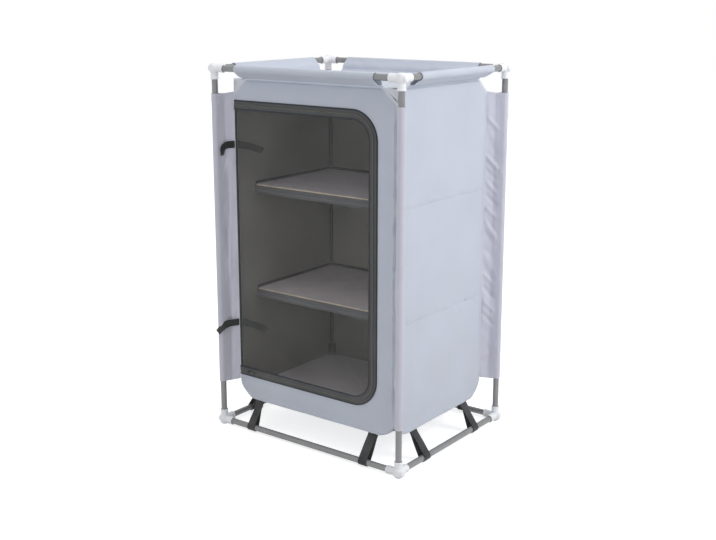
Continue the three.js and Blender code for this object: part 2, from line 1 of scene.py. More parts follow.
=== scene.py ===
"""Looks of a portable fabric wardrobe: a cloth cabinet hung inside a plug-together tube frame.

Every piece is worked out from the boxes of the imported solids, in metres, with +X to the right, +Y to the
back and +Z up. A side of the cabinet is drawn as the front one and turned about Z in quarter turns.
"""

import logging
import math
from dataclasses import dataclass
from enum import Enum
from typing import Callable, Optional, Sequence

import bmesh
import bpy
import numpy as np
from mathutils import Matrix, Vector
from mathutils.geometry import delaunay_2d_cdt


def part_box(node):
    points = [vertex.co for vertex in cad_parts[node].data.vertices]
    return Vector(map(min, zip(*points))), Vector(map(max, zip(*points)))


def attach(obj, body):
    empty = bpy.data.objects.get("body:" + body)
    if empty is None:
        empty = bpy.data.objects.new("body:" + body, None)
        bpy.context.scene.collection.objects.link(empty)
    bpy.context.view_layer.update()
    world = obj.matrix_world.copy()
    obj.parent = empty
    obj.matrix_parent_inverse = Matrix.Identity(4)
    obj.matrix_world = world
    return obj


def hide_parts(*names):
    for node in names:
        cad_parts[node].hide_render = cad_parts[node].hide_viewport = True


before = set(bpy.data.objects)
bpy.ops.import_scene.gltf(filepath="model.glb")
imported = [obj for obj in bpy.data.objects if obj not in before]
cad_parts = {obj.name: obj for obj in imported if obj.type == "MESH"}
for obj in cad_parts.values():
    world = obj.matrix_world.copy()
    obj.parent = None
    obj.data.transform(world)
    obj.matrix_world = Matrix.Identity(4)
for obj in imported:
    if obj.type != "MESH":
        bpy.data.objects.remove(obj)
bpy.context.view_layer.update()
LOG = logging.getLogger("wardrobe")

Array = np.ndarray
Colour = tuple[float, float, float]
Ripple = Callable[[Array, Array, Array], Array]
MM = 0.001
QUARTER = math.pi / 2
EIGHTH = math.pi / 4
DIAGONAL = math.sqrt(0.5)
FORWARD = (0.0, -1.0, 0.0)
LEVELS = ("lower", "upper")
ROUND_SIDES = 48
DOOR_ROUND = 78 * MM
FILM_WIDTH = 36.0
PICTURE_WIDTH = 716


class Side(Enum):
    """The four sides of the cabinet, with their quarter turns about Z from the front."""

    FRONT = 0
    RIGHT = 1
    REAR = 2
    LEFT = 3

    @property
    def label(self) -> str:
        """Name of the side as it stands in the names of pieces."""
        return self.name.lower()

    @property
    def across(self) -> bool:
        """True for the two long sides, which run along X."""
        return self in (Side.FRONT, Side.REAR)

    @property
    def cut_ends(self) -> tuple[int, ...]:
        """Ends where the wall's top corner is cut off: 1 on the right and -1 on the left."""
        return {Side.RIGHT: (1,), Side.LEFT: (-1,)}.get(self, (-1, 1))


# Small tools for numbers and shapes


def turned(points: Array, side: Side) -> Array:
    """Turns points drawn for the front round to a side.

    Args:
        points: Rows of X, Y, Z.
        side: The side that they go to.

    Returns:
        The turned rows.
    """
    x, y, z = np.asarray(points, float).T
    for _ in range(side.value):
        x, y = -y, x
    return np.stack([x, y, z], axis=1)


def smooth(value: Array, low: float, high: float) -> Array:
    """Smooth step from 0 at low to 1 at high.

    Args:
        value: Numbers to map.
        low: Where the step starts. It may be above high.
        high: Where the step ends.

    Returns:
        Numbers from 0 to 1.
    """
    share = np.clip((np.asarray(value, float) - low) / (high - low), 0, 1)
    return share * share * (3 - 2 * share)


def bump(distance: Array, width: float) -> Array:
    """Bell curve of height 1 that has faded at twice its width."""
    return np.exp(-((np.asarray(distance, float) / width) ** 2))


def unit(rows: Array) -> Array:
    """Rows scaled to length 1."""
    return rows / np.maximum(np.linalg.norm(rows, axis=-1, keepdims=True), 1e-12)


class Waves:
    """Seeded unevenness of cloth: a sum of sine waves of many lengths and directions."""

    def __init__(self, seed: int, short: float, long: float, count: int = 22, lean: float = 1.0) -> None:
        """Draws the waves.

        Args:
            seed: Seed of the draw.
            short: Shortest wave, in metres.
            long: Longest wave, in metres.
            count: Number of waves.
            lean: How much more they vary along v than along u.
        """
        draw = np.random.default_rng(seed)
        length = np.exp(draw.uniform(math.log(short), math.log(long), count))
        angle = draw.uniform(0, 2 * math.pi, count)
        self.run_u = 2 * math.pi * np.cos(angle) / length
        self.run_v = 2 * math.pi * np.sin(angle) / length * lean
        self.phase = draw.uniform(0, 2 * math.pi, count)
        self.weight = length / math.sqrt(float((length**2).sum()))

    def __call__(self, u: Array, v: Array) -> Array:
        """Height at each place, mostly from -1 to 1."""
        waves = zip(self.run_u, self.run_v, self.phase, self.weight)
        return sum(weight * np.sin(run_u * u + run_v * v + phase) for run_u, run_v, phase, weight in waves)


@dataclass(frozen=True)
class Fold:
    """A soft ridge or crease of cloth from one place to another."""

    start: tuple[float, float]
    end: tuple[float, float]
    height: float
    width: float

    def at(self, u: Array, v: Array) -> Array:
        """Height of the fold at each place.

        Args:
            u: Place along the cloth.
            v: Place up the cloth.

        Returns:
            Heights in metres, along the cloth's normal.
        """
        run = np.array(self.end) - np.array(self.start)
        length = float(np.hypot(*run))
        along = ((u - self.start[0]) * run[0] + (v - self.start[1]) * run[1]) / length
        away = ((v - self.start[1]) * run[0] - (u - self.start[0]) * run[1]) / length
        share = np.clip(along / length, -0.3, 1.3)
        fade = smooth(share, -0.25, 0.3) * (1 - smooth(share, 0.7, 1.25))
        return self.height * bump(away, self.width) * fade


def spaced(low: float, high: float, step: float) -> Array:
    """Even places from low to high, no further apart than step."""
    return np.linspace(low, high, max(2, int(math.ceil(abs(high - low) / step)) + 1))


def grid_lines(low: float, high: float, step: float, *fine: tuple[float, float, float]) -> Array:
    """Places of grid lines, closer together where the cloth bends.

    Args:
        low: First line.
        high: Last line.
        step: Spacing.
        fine: Zones with lines of their own, each (from, to, spacing).

    Returns:
        Sorted places.
    """
    lines = spaced(low, high, step)
    for start, end, spacing in fine:
        start, end = max(start, low), min(end, high)
        if end <= start:
            continue
        lines = lines[(lines < start - spacing * 0.6) | (lines > end + spacing * 0.6)]
        lines = np.concatenate([lines, spaced(start, end, spacing)])
    return np.unique(np.round(lines, 7))


def arc(x: float, y: float, radius: float, start: float, end: float, steps: int) -> Array:
    """Points of an arc.

    Args:
        x: Centre.
        y: Centre.
        radius: Radius.
        start: First angle.
        end: Last angle.
        steps: Number of steps between them.

    Returns:
        Rows of two numbers.
    """
    angle = np.linspace(start, end, steps + 1)
    return np.stack([x + radius * np.cos(angle), y + radius * np.sin(angle)], axis=1)


def rounded_rectangle(width: float, depth: float, radius: float, steps: int = 10) -> Array:
    """Outline of a rectangle with round corners, centred on zero.

    Args:
        width: Size along u.
        depth: Size along v.
        radius: Radius of the corners.
        steps: Steps in each corner.

    Returns:
        Rows of points.
    """
    x, y = width / 2 - radius, depth / 2 - radius
    corners = [(x, y), (-x, y), (-x, -y), (x, -y)]
    return np.concatenate([arc(*place, radius, turn * QUARTER, (turn + 1) * QUARTER, steps)
                           for turn, place in enumerate(corners)])


def divided(loop: Array, step: float, closed: bool = True) -> Array:
    """A line with points added so that none are further apart than step.

    Args:
        loop: Corners of the line.
        step: Largest spacing.
        closed: True if the last corner joins the first.

    Returns:
        Rows of points.
    """
    ends = np.roll(loop, -1, axis=0) if closed else loop[1:]
    rows = []
    for start, end in zip(loop, ends):
        count = max(1, int(math.ceil(float(np.linalg.norm(end - start)) / step)))
        rows.extend(start + (end - start) * share / count for share in range(count))
    if not closed:
        rows.append(loop[-1])
    return np.array(rows)


def inside(loop: Array, points: Array) -> Array:
    """Tells which points lie in a closed loop.

    Args:
        loop: Corners of the loop.
        points: The points.

    Returns:
        True for each point inside.
    """
    x, y = points[:, 0][:, None], points[:, 1][:, None]
    ends = np.roll(loop, -1, axis=0)
    rise = ends[:, 1] - loop[:, 1]
    crossed = (loop[:, 1] > y) != (ends[:, 1] > y)
    at = loop[:, 0] + (ends[:, 0] - loop[:, 0]) * (y - loop[:, 1]) / np.where(rise == 0, 1e-12, rise)
    return np.count_nonzero(crossed & (x < at), axis=1) % 2 == 1


def clear_of(loop: Array, points: Array, distance: float) -> Array:
    """Tells which points are clear of a closed loop.

    Args:
        loop: Corners of the loop.
        points: The points.
        distance: How far a clear point is from the loop at least.

    Returns:
        True for each clear point.
    """
    clear = np.ones(len(points), bool)
    for start, end in zip(loop, np.roll(loop, -1, axis=0)):
        run = end - start
        share = np.clip(((points - start) @ run) / max(float(run @ run), 1e-18), 0, 1)
        clear &= np.hypot(*(points - start - share[:, None] * run).T) > distance
    return clear


def inset_loop(loop: Array, distance: float) -> Array:
    """Moves a closed loop to its left.

    Args:
        loop: Corners of the loop.
        distance: How far it moves.

    Returns:
        The moved corners.
    """
    before, after = np.roll(loop, 1, axis=0), np.roll(loop, -1, axis=0)
    first, second = unit(loop - before), unit(after - loop)
    left = unit(np.stack([-(first + second)[:, 1], (first + second)[:, 0]], axis=1))
    lean = np.maximum(left[:, 0] * -first[:, 1] + left[:, 1] * first[:, 0], 0.4)
    return loop + left * (distance / lean)[:, None]


def run_along(path: Array) -> Array:
    """Distance of each point of a path from its start."""
    return np.concatenate([[0], np.cumsum(np.linalg.norm(np.diff(path, axis=0), axis=1))])


def read_off(at: Array, reach: Array, rows: Array) -> Array:
    """Rows that belong to a path, read off at distances along it."""
    return np.stack([np.interp(at, reach, column) for column in rows.T], axis=1)


def ring_faces(number: Array) -> list:
    """Faces between rows of point numbers, each row a closed ring."""
    beside = np.roll(number, -1, axis=1)
    return np.stack([number[:-1], beside[:-1], beside[1:], number[1:]], axis=-1).reshape(-1, 4).tolist()


def triangulated(loops: Sequence[Array], extra: Optional[Array] = None) -> tuple[Array, Array]:
    """Triangles between an outline and its holes.

    Args:
        loops: The outline, then each hole.
        extra: More points to take up inside.

    Returns:
        The points, loops first and in order, and rows of three point numbers that turn to the left.
    """
    points = np.concatenate([*loops, *([] if extra is None else [extra])])
    edges, start = [], 0
    for loop in loops:
        count = len(loop)
        edges.extend((start + here, start + (here + 1) % count) for here in range(count))
        start += count
    made, _, faces, _, _, _ = delaunay_2d_cdt([Vector(point) for point in points], edges, [], 0, 1e-9)
    flat = np.array([(point.x, point.y) for point in made])
    rows = np.array([face for face in faces if len(face) == 3])
    middle = flat[rows].mean(axis=1)
    keep = inside(loops[0], middle)
    for hole in loops[1:]:
        keep &= ~inside(hole, middle)
    rows = rows[keep]
    a, b, c = flat[rows[:, 0]], flat[rows[:, 1]], flat[rows[:, 2]]
    turn = (b[:, 0] - a[:, 0]) * (c[:, 1] - a[:, 1]) - (b[:, 1] - a[:, 1]) * (c[:, 0] - a[:, 0])
    rows[turn < 0] = rows[turn < 0][:, ::-1]
    return flat, rows[np.abs(turn) > 1e-14]


def flat_cut(outline: Array, holes: Sequence[Array], columns: Array, rows: Array) -> tuple[Array, Array]:
    """A flat cut of cloth, meshed on a grid that is finer where it has to bend.

    Args:
        outline: Outline of the cut.
        holes: Outlines of its openings.
        columns: Grid lines along u.
        rows: Grid lines along v.

    Returns:
        Points and triangles.
    """
    u, v = np.meshgrid(columns, rows)
    points = np.stack([u.ravel(), v.ravel()], axis=1)
    points = points[inside(outline, points)]
    for loop in [outline, *holes]:
        points = points[clear_of(loop, points, 1.4 * MM)]
    for hole in holes:
        points = points[~inside(hole, points)]
    return triangulated([outline, *holes], points)


class Draft:
    """Points, faces and cloth coordinates of one piece while it is made."""

    def __init__(self) -> None:
        """Starts empty."""
        self.points: list[Array] = []
        self.cloth: list[Array] = []
        self.faces: list[tuple[int, ...]] = []
        self.marks: list[int] = []
        self.count = 0

    def add(self, points: Array, faces: Sequence, cloth: Optional[Array] = None,
            mark: int | Sequence[int] = 0) -> None:
        """Adds one body.

        Args:
            points: Rows of X, Y, Z.
            faces: Rows of point numbers in this body.
            cloth: Place of each point on the flat cloth, in metres.
            mark: Number of the finish, one for all or one for each face.
        """
        points = np.asarray(points, float)
        self.points.append(points)
        self.cloth.append(points[:, [0, 2]] if cloth is None else np.asarray(cloth, float))
        self.faces.extend(tuple(int(corner) + self.count for corner in face) for face in faces)
        self.marks.extend([mark] * len(faces) if isinstance(mark, int) else mark)
        self.count += len(points)

    def made(self, name: str, finishes: Sequence[bpy.types.Material], sharp: float = 38) -> bpy.types.Object:
        """Makes the piece.

        Args:
            name: Name of the piece.
            finishes: Its materials, in the order of the marks.
            sharp: Angle in degrees from which an edge shows as an edge.

        Returns:
            The new object.
        """
        mesh = bpy.data.meshes.new(name)
        mesh.from_pydata(np.concatenate(self.points).tolist(), [], self.faces)
        mesh.polygons.foreach_set("material_index", self.marks)
        work = bmesh.new()
        work.from_mesh(mesh)
        bmesh.ops.recalc_face_normals(work, faces=work.faces)
        work.to_mesh(mesh)
        work.free()
        layer = mesh.uv_layers.new(name="cloth")
        corners = np.zeros(len(mesh.loops), np.int32)
        mesh.loops.foreach_get("vertex_index", corners)
        layer.data.foreach_set("uv", np.concatenate(self.cloth)[corners].astype(np.float32).ravel())
        for finish in finishes:
            mesh.materials.append(finish)
        mesh.shade_smooth()
        mesh.set_sharp_from_angle(angle=math.radians(sharp))
        mesh.update()
        piece = bpy.data.objects.new(name, mesh)
        bpy.context.scene.collection.objects.link(piece)
        return piece


def thickened(draft: Draft, flat: Array, rows: Array, outer: Array, normals: Array, thickness: Array,
              marks: Sequence[Array] = ()) -> None:
    """Adds a sheet of cloth with its two faces and its edges.

    Args:
        draft: The piece.
        flat: Places on the flat cut.
        rows: Its triangles.
        outer: Where the places lie on the outer face.
        normals: Outward directions there.
        thickness: Thickness of the cloth, one for all or one for each place.
        marks: Finish of each triangle on the outer face, and then on the inner one.
    """
    count = len(flat)
    inner = outer - normals * np.broadcast_to(np.asarray(thickness, float), count)[:, None]
    pairs = np.concatenate([rows[:, [0, 1]], rows[:, [1, 2]], rows[:, [2, 0]]])
    known = {(int(a), int(b)) for a, b in pairs}
    rim = [(b, a, a + count, b + count) for a, b in known if (b, a) not in known]
    faces = [*rows.tolist(), *(rows[:, ::-1] + count).tolist(), *sorted(rim)]
    finish = [int(mark) for face in marks for mark in face]
    finish += [0] * (len(faces) - len(finish))
    draft.add(np.concatenate([outer, inner]), faces, np.concatenate([flat, flat]), finish)


def closed_grid(draft: Draft, outer: Array, inner: Array, cloth: Array) -> None:
    """Adds a sheet given as two grids of points.

    Args:
        draft: The piece.
        outer: Outer face, rows by columns by 3.
        inner: Inner face, the same.
        cloth: Flat places, rows by columns by 2.
    """
    rows, columns, _ = outer.shape
    number = np.arange(rows * columns).reshape(rows, columns)
    under = number + rows * columns
    faces = []
    for top, flip in ((number, False), (under, True)):
        quads = np.stack([top[:-1, :-1], top[:-1, 1:], top[1:, 1:], top[1:, :-1]], axis=-1).reshape(-1, 4)
        faces.extend((quads[:, ::-1] if flip else quads).tolist())
    edge = [*number[0, :], *number[1:, -1], *number[-1, -2::-1], *number[-2:0:-1, 0]]
    for a, b in zip(edge, edge[1:] + edge[:1]):
        faces.append((b, a, a + rows * columns, b + rows * columns))
    both = np.concatenate([outer.reshape(-1, 3), inner.reshape(-1, 3)])
    draft.add(both, faces, np.concatenate([cloth.reshape(-1, 2)] * 2))


def bars(draft: Draft, middles: Array, along: Array, up: Array, size: Sequence[float], sink: float,
         taper: float) -> None:
    """Adds many small bars with narrowed tops, such as stitches or zip teeth.

    Args:
        draft: The piece.
        middles: Middle of each bar's foot.
        along: Direction of each bar's length.
        up: Direction of each bar's height.
        size: Length, width and height.
        sink: How far the foot is sunk.
        taper: Share of the foot's length and width that the top keeps.
    """
    length, width, height = size
    across = np.cross(up, along)
    rows = []
    for level, scale in ((-sink, 1.0), (height, taper)):
        for a, s in ((-1, -1), (1, -1), (1, 1), (-1, 1)):
            edge = length / 2 - (width / 2) * (1 - scale)
            rows.append(middles + along * a * edge + across * s * width / 2 * scale + up * level)
    points = np.stack(rows, axis=1).reshape(-1, 3)
    box = ((3, 2, 1, 0), (4, 5, 6, 7), (0, 1, 5, 4), (1, 2, 6, 5), (2, 3, 7, 6), (3, 0, 4, 7))
    faces = [tuple(8 * bar + corner for corner in face) for bar in range(len(middles)) for face in box]
    draft.add(points, faces)


def stitches(draft: Draft, path: Array, up: Array, pitch: float = 4.2 * MM, length: float = 3.0 * MM,
             width: float = 0.7 * MM, height: float = 0.35 * MM) -> None:
    """Adds a row of stitches along a path on the cloth.

    Args:
        draft: The piece that holds the thread.
        path: Points of the seam.
        up: Outward direction at each point.
        pitch: From one stitch to the next.
        length: Length of a stitch.
        width: Width of the thread.
        height: How far the thread stands up.
    """
    reach = run_along(path)
    at = np.arange(pitch / 2, reach[-1], pitch)
    if not len(at):
        return
    here, ahead = (read_off(at + shift, reach, path) for shift in (-length / 4, length / 4))
    away = unit(read_off(at, reach, up))
    run = unit(ahead - here)
    run = unit(run - away * (run * away).sum(axis=1, keepdims=True))
    bars(draft, (here + ahead) / 2, run, away, (length, width, height), 0.25 * MM, 0.5)


def lathe(profile: Sequence[tuple[float, float]], closed: bool = False) -> tuple[Array, list]:
    """A turned body round Z.

    Args:
        profile: Radius and height of each ring.
        closed: True if the last ring joins the first, as in a pipe.

    Returns:
        Points and faces.
    """
    radius, height = np.array(profile).T
    angle = np.arange(ROUND_SIDES) * 2 * math.pi / ROUND_SIDES
    points = np.stack([np.outer(radius, np.cos(angle)), np.outer(radius, np.sin(angle)),
                       np.outer(height, np.ones(ROUND_SIDES))], axis=-1).reshape(-1, 3)
    number = np.arange(len(points)).reshape(-1, ROUND_SIDES)
    if closed:
        return points, ring_faces(np.concatenate([number, number[:1]]))
    return points, [*ring_faces(number), number[0, ::-1], number[-1]]


def slab(draft: Draft, loops: Sequence[Array], thickness: float, chamfer: float,
         place: Callable[[Array], Array], edge_mark: int = 0) -> None:
    """Adds a flat plate with softened edges.

    Args:
        draft: The piece.
        loops: Outline turning left, then holes turning right.
        thickness: Thickness of the plate.
        chamfer: Width of the softened edge.
        place: Lays rows of u, v and height in space.
        edge_mark: Number of the finish on the edges.
    """
    small = [inset_loop(loop, chamfer) for loop in loops]
    flat, rows = triangulated(small)
    for height, flip in ((0.0, True), (thickness, False)):
        points = np.column_stack([flat, np.full(len(flat), height)])
        draft.add(place(points), (rows[:, ::-1] if flip else rows).tolist(), flat)
    for loop, inner in zip(loops, small):
        rings = ((inner, 0.0), (loop, chamfer), (loop, thickness - chamfer), (inner, thickness))
        points = np.concatenate([np.column_stack([ring, np.full(len(loop), height)]) for ring, height in rings])
        faces = ring_faces(np.arange(4 * len(loop)).reshape(4, -1))
        draft.add(place(points), faces, points[:, :2], edge_mark)


def swept(draft: Draft, path: Array, radius: float, sides: int) -> None:
    """Adds a round bar along an open path that stays level.

    Args:
        draft: The piece.
        path: Points of its middle line.
        radius: Radius of the bar.
        sides: Number of sides.
    """
    run = unit(np.gradient(path, axis=0))
    first = unit(np.cross(run, (0.0, 0.0, 1.0)))
    second = np.cross(run, first)
    angle = np.arange(sides) * 2 * math.pi / sides
    rings = path[:, None] + radius * (np.cos(angle)[None, :, None] * first[:, None]
                                      + np.sin(angle)[None, :, None] * second[:, None])
    number = np.arange(len(path) * sides).reshape(len(path), sides)
    draft.add(rings.reshape(-1, 3), [*ring_faces(number), number[0, ::-1], number[-1]])


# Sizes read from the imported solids


def middle_of(node: str) -> Vector:
    """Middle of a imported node's box."""
    low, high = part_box(node)
    return (low + high) / 2


@dataclass(frozen=True)
class Sizes:
    """Sizes of the frame and the cabinet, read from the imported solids."""

    half_x: float
    half_y: float
    low_rail: float
    high_rail: float
    tube: float
    cabinet_x: float
    cabinet_y: float
    bottom: float
    top: float
    hinge_x: float
    door_right: float
    door_bottom: float
    door_top: float

    @classmethod
    def measured(cls) -> "Sizes":
        """Reads them from the frame."""
        post = middle_of("upright_front_right")
        low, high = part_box("upright_front_right")
        wall_low, wall_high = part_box("wall_right")
        band_low, band_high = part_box("zip_tape_wall")
        return cls(
            half_x=post.x, half_y=-post.y, tube=(high.x - low.x) / 2,
            low_rail=middle_of("bottom_rail_front").z, high_rail=middle_of("top_rail_front").z,
            cabinet_x=wall_high.x, cabinet_y=-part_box("wall_front")[0].y,
            bottom=wall_low.z, top=wall_high.z, hinge_x=band_low.x, door_right=band_high.x,
            door_bottom=band_low.z, door_top=band_high.z)

    def halves(self, side: Side) -> tuple[float, float, float]:
        """Half width of a side, its distance from the middle, and that of its rail."""
        across = (self.cabinet_x, self.cabinet_y, self.half_y)
        return across if side.across else (self.cabinet_y, self.cabinet_x, self.half_x)


# Shader nodes


class Graph:
    """Short ways to place and join the nodes of one tree."""

    def __init__(self, tree: bpy.types.NodeTree) -> None:
        """Takes the tree."""
        self.tree = tree

    def feed(self, node: bpy.types.Node, inputs: dict) -> None:
        """Sets or joins the inputs of a node.

        Args:
            node: The node.
            inputs: Value or socket for each named or numbered input.
        """
        for key, value in inputs.items():
            if isinstance(value, bpy.types.NodeSocket):
                self.tree.links.new(value, node.inputs[key])
            else:
                node.inputs[key].default_value = value

    def add(self, kind: str, inputs: Optional[dict] = None, **settings: object) -> bpy.types.Node:
        """Places a node.

        Args:
            kind: Its type, such as ShaderNodeMath.
            inputs: Value or socket for each named or numbered input.
            settings: Properties of the node.

        Returns:
            The node.
        """
        node = self.tree.nodes.new(kind)
        for key, value in settings.items():
            setattr(node, key, value)
        self.feed(node, inputs or {})
        return node

    def math(self, operation: str, *values: object) -> bpy.types.NodeSocket:
        """Result of a math node on sockets or numbers."""
        return self.add("ShaderNodeMath", dict(enumerate(values)), operation=operation).outputs[0]

    def blend(self, factor: object, first: object, second: object, kind: str = "MIX") -> bpy.types.NodeSocket:
        """Colour between two others."""
        node = self.add("ShaderNodeMix", {0: factor, 6: first, 7: second}, data_type="RGBA", blend_type=kind)
        return node.outputs[2]

    def span(self, value: object, low: object, high: object, first: float, second: float) -> bpy.types.NodeSocket:
        """A value moved from one range to another."""
        ends = {0: value, 1: low, 2: high, 3: first, 4: second}
        return self.add("ShaderNodeMapRange", ends).outputs[0]

    def noise(self, place: object, scale: object, detail: object, roughness: float = 0.5) -> bpy.types.NodeSocket:
        """Noise from 0 to 1."""
        inputs = {"Vector": place, "Scale": scale, "Detail": detail, "Roughness": roughness}
        return self.add("ShaderNodeTexNoise", inputs).outputs[0]

    def bumped(self, height: object, distance: float, strength: float) -> bpy.types.NodeSocket:
        """Normal of a finely uneven surface."""
        inputs = {"Height": height, "Distance": distance, "Strength": strength}
        return self.add("ShaderNodeBump", inputs).outputs[0]

    def group(self, name: str, inputs: dict) -> bpy.types.Node:
        """Places a shared group."""
        return self.add("ShaderNodeGroup", inputs, node_tree=bpy.data.node_groups[name])


def new_group(name: str, inputs: dict[str, object], outputs: Sequence[str]) -> tuple[Graph, dict, bpy.types.Node]:
    """Starts a shared effect.

    Args:
        name: Name of the group.
        inputs: Name and first value of each input. A value of None makes a vector.
        outputs: Names of the numbers that it puts out.

    Returns:
        Its graph, its inputs by name and its output node.
    """
    tree = bpy.data.node_groups.new(name, "ShaderNodeTree")
    for key, value in inputs.items():
        kind = "NodeSocketVector" if value is None else "NodeSocketFloat"
        socket = tree.interface.new_socket(key, in_out="INPUT", socket_type=kind)
        if value is not None:
            socket.default_value = value
    for key in outputs:
        tree.interface.new_socket(key, in_out="OUTPUT", socket_type="NodeSocketFloat")
    start, end = tree.nodes.new("NodeGroupInput"), tree.nodes.new("NodeGroupOutput")
    return Graph(tree), {socket.name: socket for socket in start.outputs if socket.name}, end


def thread_turns(graph: Graph, given: dict) -> tuple[bpy.types.NodeSocket, Sequence[bpy.types.NodeSocket]]:
    """Counts places on the cloth in turns of one thread's pitch.

    Args:
        graph: Nodes of a group.
        given: Its inputs, with a vector and a pitch.

    Returns:
        The vector, and its three parts.
    """
    scale = graph.math("DIVIDE", 2 * math.pi, given["Pitch"])
    turns = graph.add("ShaderNodeVectorMath", {0: given["Vector"], "Scale": scale}, operation="SCALE").outputs[0]
    return turns, graph.add("ShaderNodeSeparateXYZ", {0: turns}).outputs


def build_weave() -> None:
    """Plain weave: threads that go over and under each other, with slubs."""
    graph, given, end = new_group("weave", {"Vector": None, "Pitch": 0.001, "Slub": 0.3}, ["Height", "Shade"])
    turns, parts = thread_turns(graph, given)
    crossing = graph.math("MULTIPLY", graph.math("SINE", parts[0]), graph.math("SINE", parts[1]))
    crossing = graph.math("MULTIPLY_ADD", crossing, 0.5, 0.5)
    slub = graph.math("MULTIPLY", graph.noise(turns, 0.35, 2.0), given["Slub"])
    graph.feed(end, {"Height": graph.math("ADD", crossing, slub), "Shade": graph.math("POWER", crossing, 0.6)})


def build_ribs() -> None:
    """Herringbone ribs of webbing and zip tape."""
    inputs = {"Vector": None, "Pitch": 0.0016, "Chevron": 0.006}
    graph, given, end = new_group("ribs", inputs, ["Height", "Shade"])
    parts = graph.add("ShaderNodeSeparateXYZ", {0: given["Vector"]}).outputs
    tooth = graph.math("PINGPONG", parts[0], given["Chevron"])
    run = graph.math("DIVIDE", graph.math("ADD", parts[1], tooth), given["Pitch"])
    wave = graph.math("SINE", graph.math("MULTIPLY", run, 2 * math.pi))
    height = graph.math("MULTIPLY_ADD", wave, 0.5, 0.5)
    graph.feed(end, {"Height": height, "Shade": graph.math("POWER", height, 0.7)})


def build_net() -> None:
    """Holes of a knitted net: 1 on the thread, 0 in a hole."""
    graph, given, end = new_group("net", {"Vector": None, "Pitch": 0.0016}, ["Thread"])
    _, parts = thread_turns(graph, given)
    half, rise = graph.math("MULTIPLY", parts[0], 0.5), graph.math("MULTIPLY", parts[1], math.sqrt(0.75))
    total = graph.math("COSINE", parts[0])
    for operation in ("ADD", "SUBTRACT"):
        total = graph.math("ADD", total, graph.math("COSINE", graph.math(operation, half, rise)))
    graph.feed(end, {"Thread": graph.span(total, 0.2, 1.6, 1.0, 0.0)})


def build_mottle() -> None:
    """Slow unevenness of colour."""
    graph, given, end = new_group("mottle", {"Vector": None, "Scale": 8.0, "Detail": 4.0}, ["Value"])
    noise = graph.noise(given["Vector"], given["Scale"], given["Detail"], 0.6)
    graph.feed(end, {"Value": graph.span(noise, 0.3, 0.7, 0.0, 1.0)})


def build_soil() -> None:
    """Handling marks and dust that gather towards a low level."""
    graph, given, end = new_group("soil", {"Vector": None, "Low": 0.0, "High": 0.4}, ["Mask"])
    height = graph.add("ShaderNodeSeparateXYZ", {0: given["Vector"]}).outputs[2]
    fall = graph.span(height, given["High"], given["Low"], 0.0, 1.0)
    spots = graph.span(graph.noise(given["Vector"], 14.0, 5.0), 0.42, 0.72, 0.0, 1.0)
    graph.feed(end, {"Mask": graph.math("MULTIPLY", fall, spots)})


def build_grain() -> None:
    """Fine grain of moulded plastic or a baked coat, with a few rubbed spots."""
    graph, given, end = new_group("grain", {"Vector": None, "Scale": 900.0, "Wear": 0.2}, ["Height", "Rubbed"])
    spots = graph.span(graph.noise(given["Vector"], 60.0, 6.0), 0.58, 0.7, 0.0, 1.0)
    graph.feed(end, {"Height": graph.noise(given["Vector"], given["Scale"], 2.0),
                     "Rubbed": graph.math("MULTIPLY", spots, given["Wear"])})


def rgba(colour: Colour, scale: float = 1.0) -> tuple[float, float, float, float]:
    """A colour as the sockets take it, made lighter or darker by a scale."""
    return (*(min(part * scale, 1.0) for part in colour), 1.0)


def started(name: str) -> tuple[bpy.types.Material, Graph, bpy.types.Node]:
    """Starts a material.

    Args:
        name: Name of the material.

    Returns:
        The material, its graph and its shader.
    """
    material = bpy.data.materials.new(name)
    material.use_nodes = True
    graph = Graph(material.node_tree)
    return material, graph, material.node_tree.nodes["Principled BSDF"]


@dataclass(frozen=True)
class ClothFinish:
    """Woven or ribbed cloth."""

    name: str
    colour: Colour
    pitch: float = 0.9 * MM
    relief: float = 0.12 * MM
    ribbed: bool = False
    variety: float = 0.06
    roughness: float = 0.8
    sheen: float = 0.12
    dust: float = 0.25
    dust_colour: Colour = (0.42, 0.40, 0.37)
    light_through: float = 0.0

    def made(self) -> bpy.types.Material:
        """Builds the material.

        Returns:
            The material.
        """
        material, graph, shader = started(self.name)
        cloth = graph.add("ShaderNodeUVMap", uv_map="cloth").outputs[0]
        place = graph.add("ShaderNodeTexCoord").outputs["Object"]
        extra = {"Chevron": 6 * self.pitch} if self.ribbed else {"Slub": 0.35}
        weave = graph.group("ribs" if self.ribbed else "weave", {"Vector": cloth, "Pitch": self.pitch, **extra})
        patches = graph.group("mottle", {"Vector": place, "Scale": 7.0}).outputs[0]
        dark, light = 1 - self.variety, 1 + self.variety
        tone = graph.blend(patches, rgba(self.colour, dark), rgba(self.colour, light))
        thread = graph.span(weave.outputs["Shade"], 0.0, 1.0, 1 - 2.2 * self.variety, 1.0)
        tone = graph.blend(1.0, tone, thread, "MULTIPLY")
        soil = graph.group("soil", {"Vector": place, "Low": 0.06, "High": 0.5}).outputs[0]
        tone = graph.blend(graph.math("MULTIPLY", soil, self.dust), tone, rgba(self.dust_colour))
        graph.feed(shader, {
            "Base Color": tone,
            "Roughness": graph.span(patches, 0.0, 1.0, self.roughness - 0.06, self.roughness + 0.06),
            "Normal": graph.bumped(weave.outputs["Height"], self.relief, 0.6), "Sheen Weight": self.sheen,
            "Specular IOR Level": 0.25, "Subsurface Weight": self.light_through,
            "Subsurface Radius": (1.0, 1.0, 1.0), "Subsurface Scale": 4 * MM})
        return material


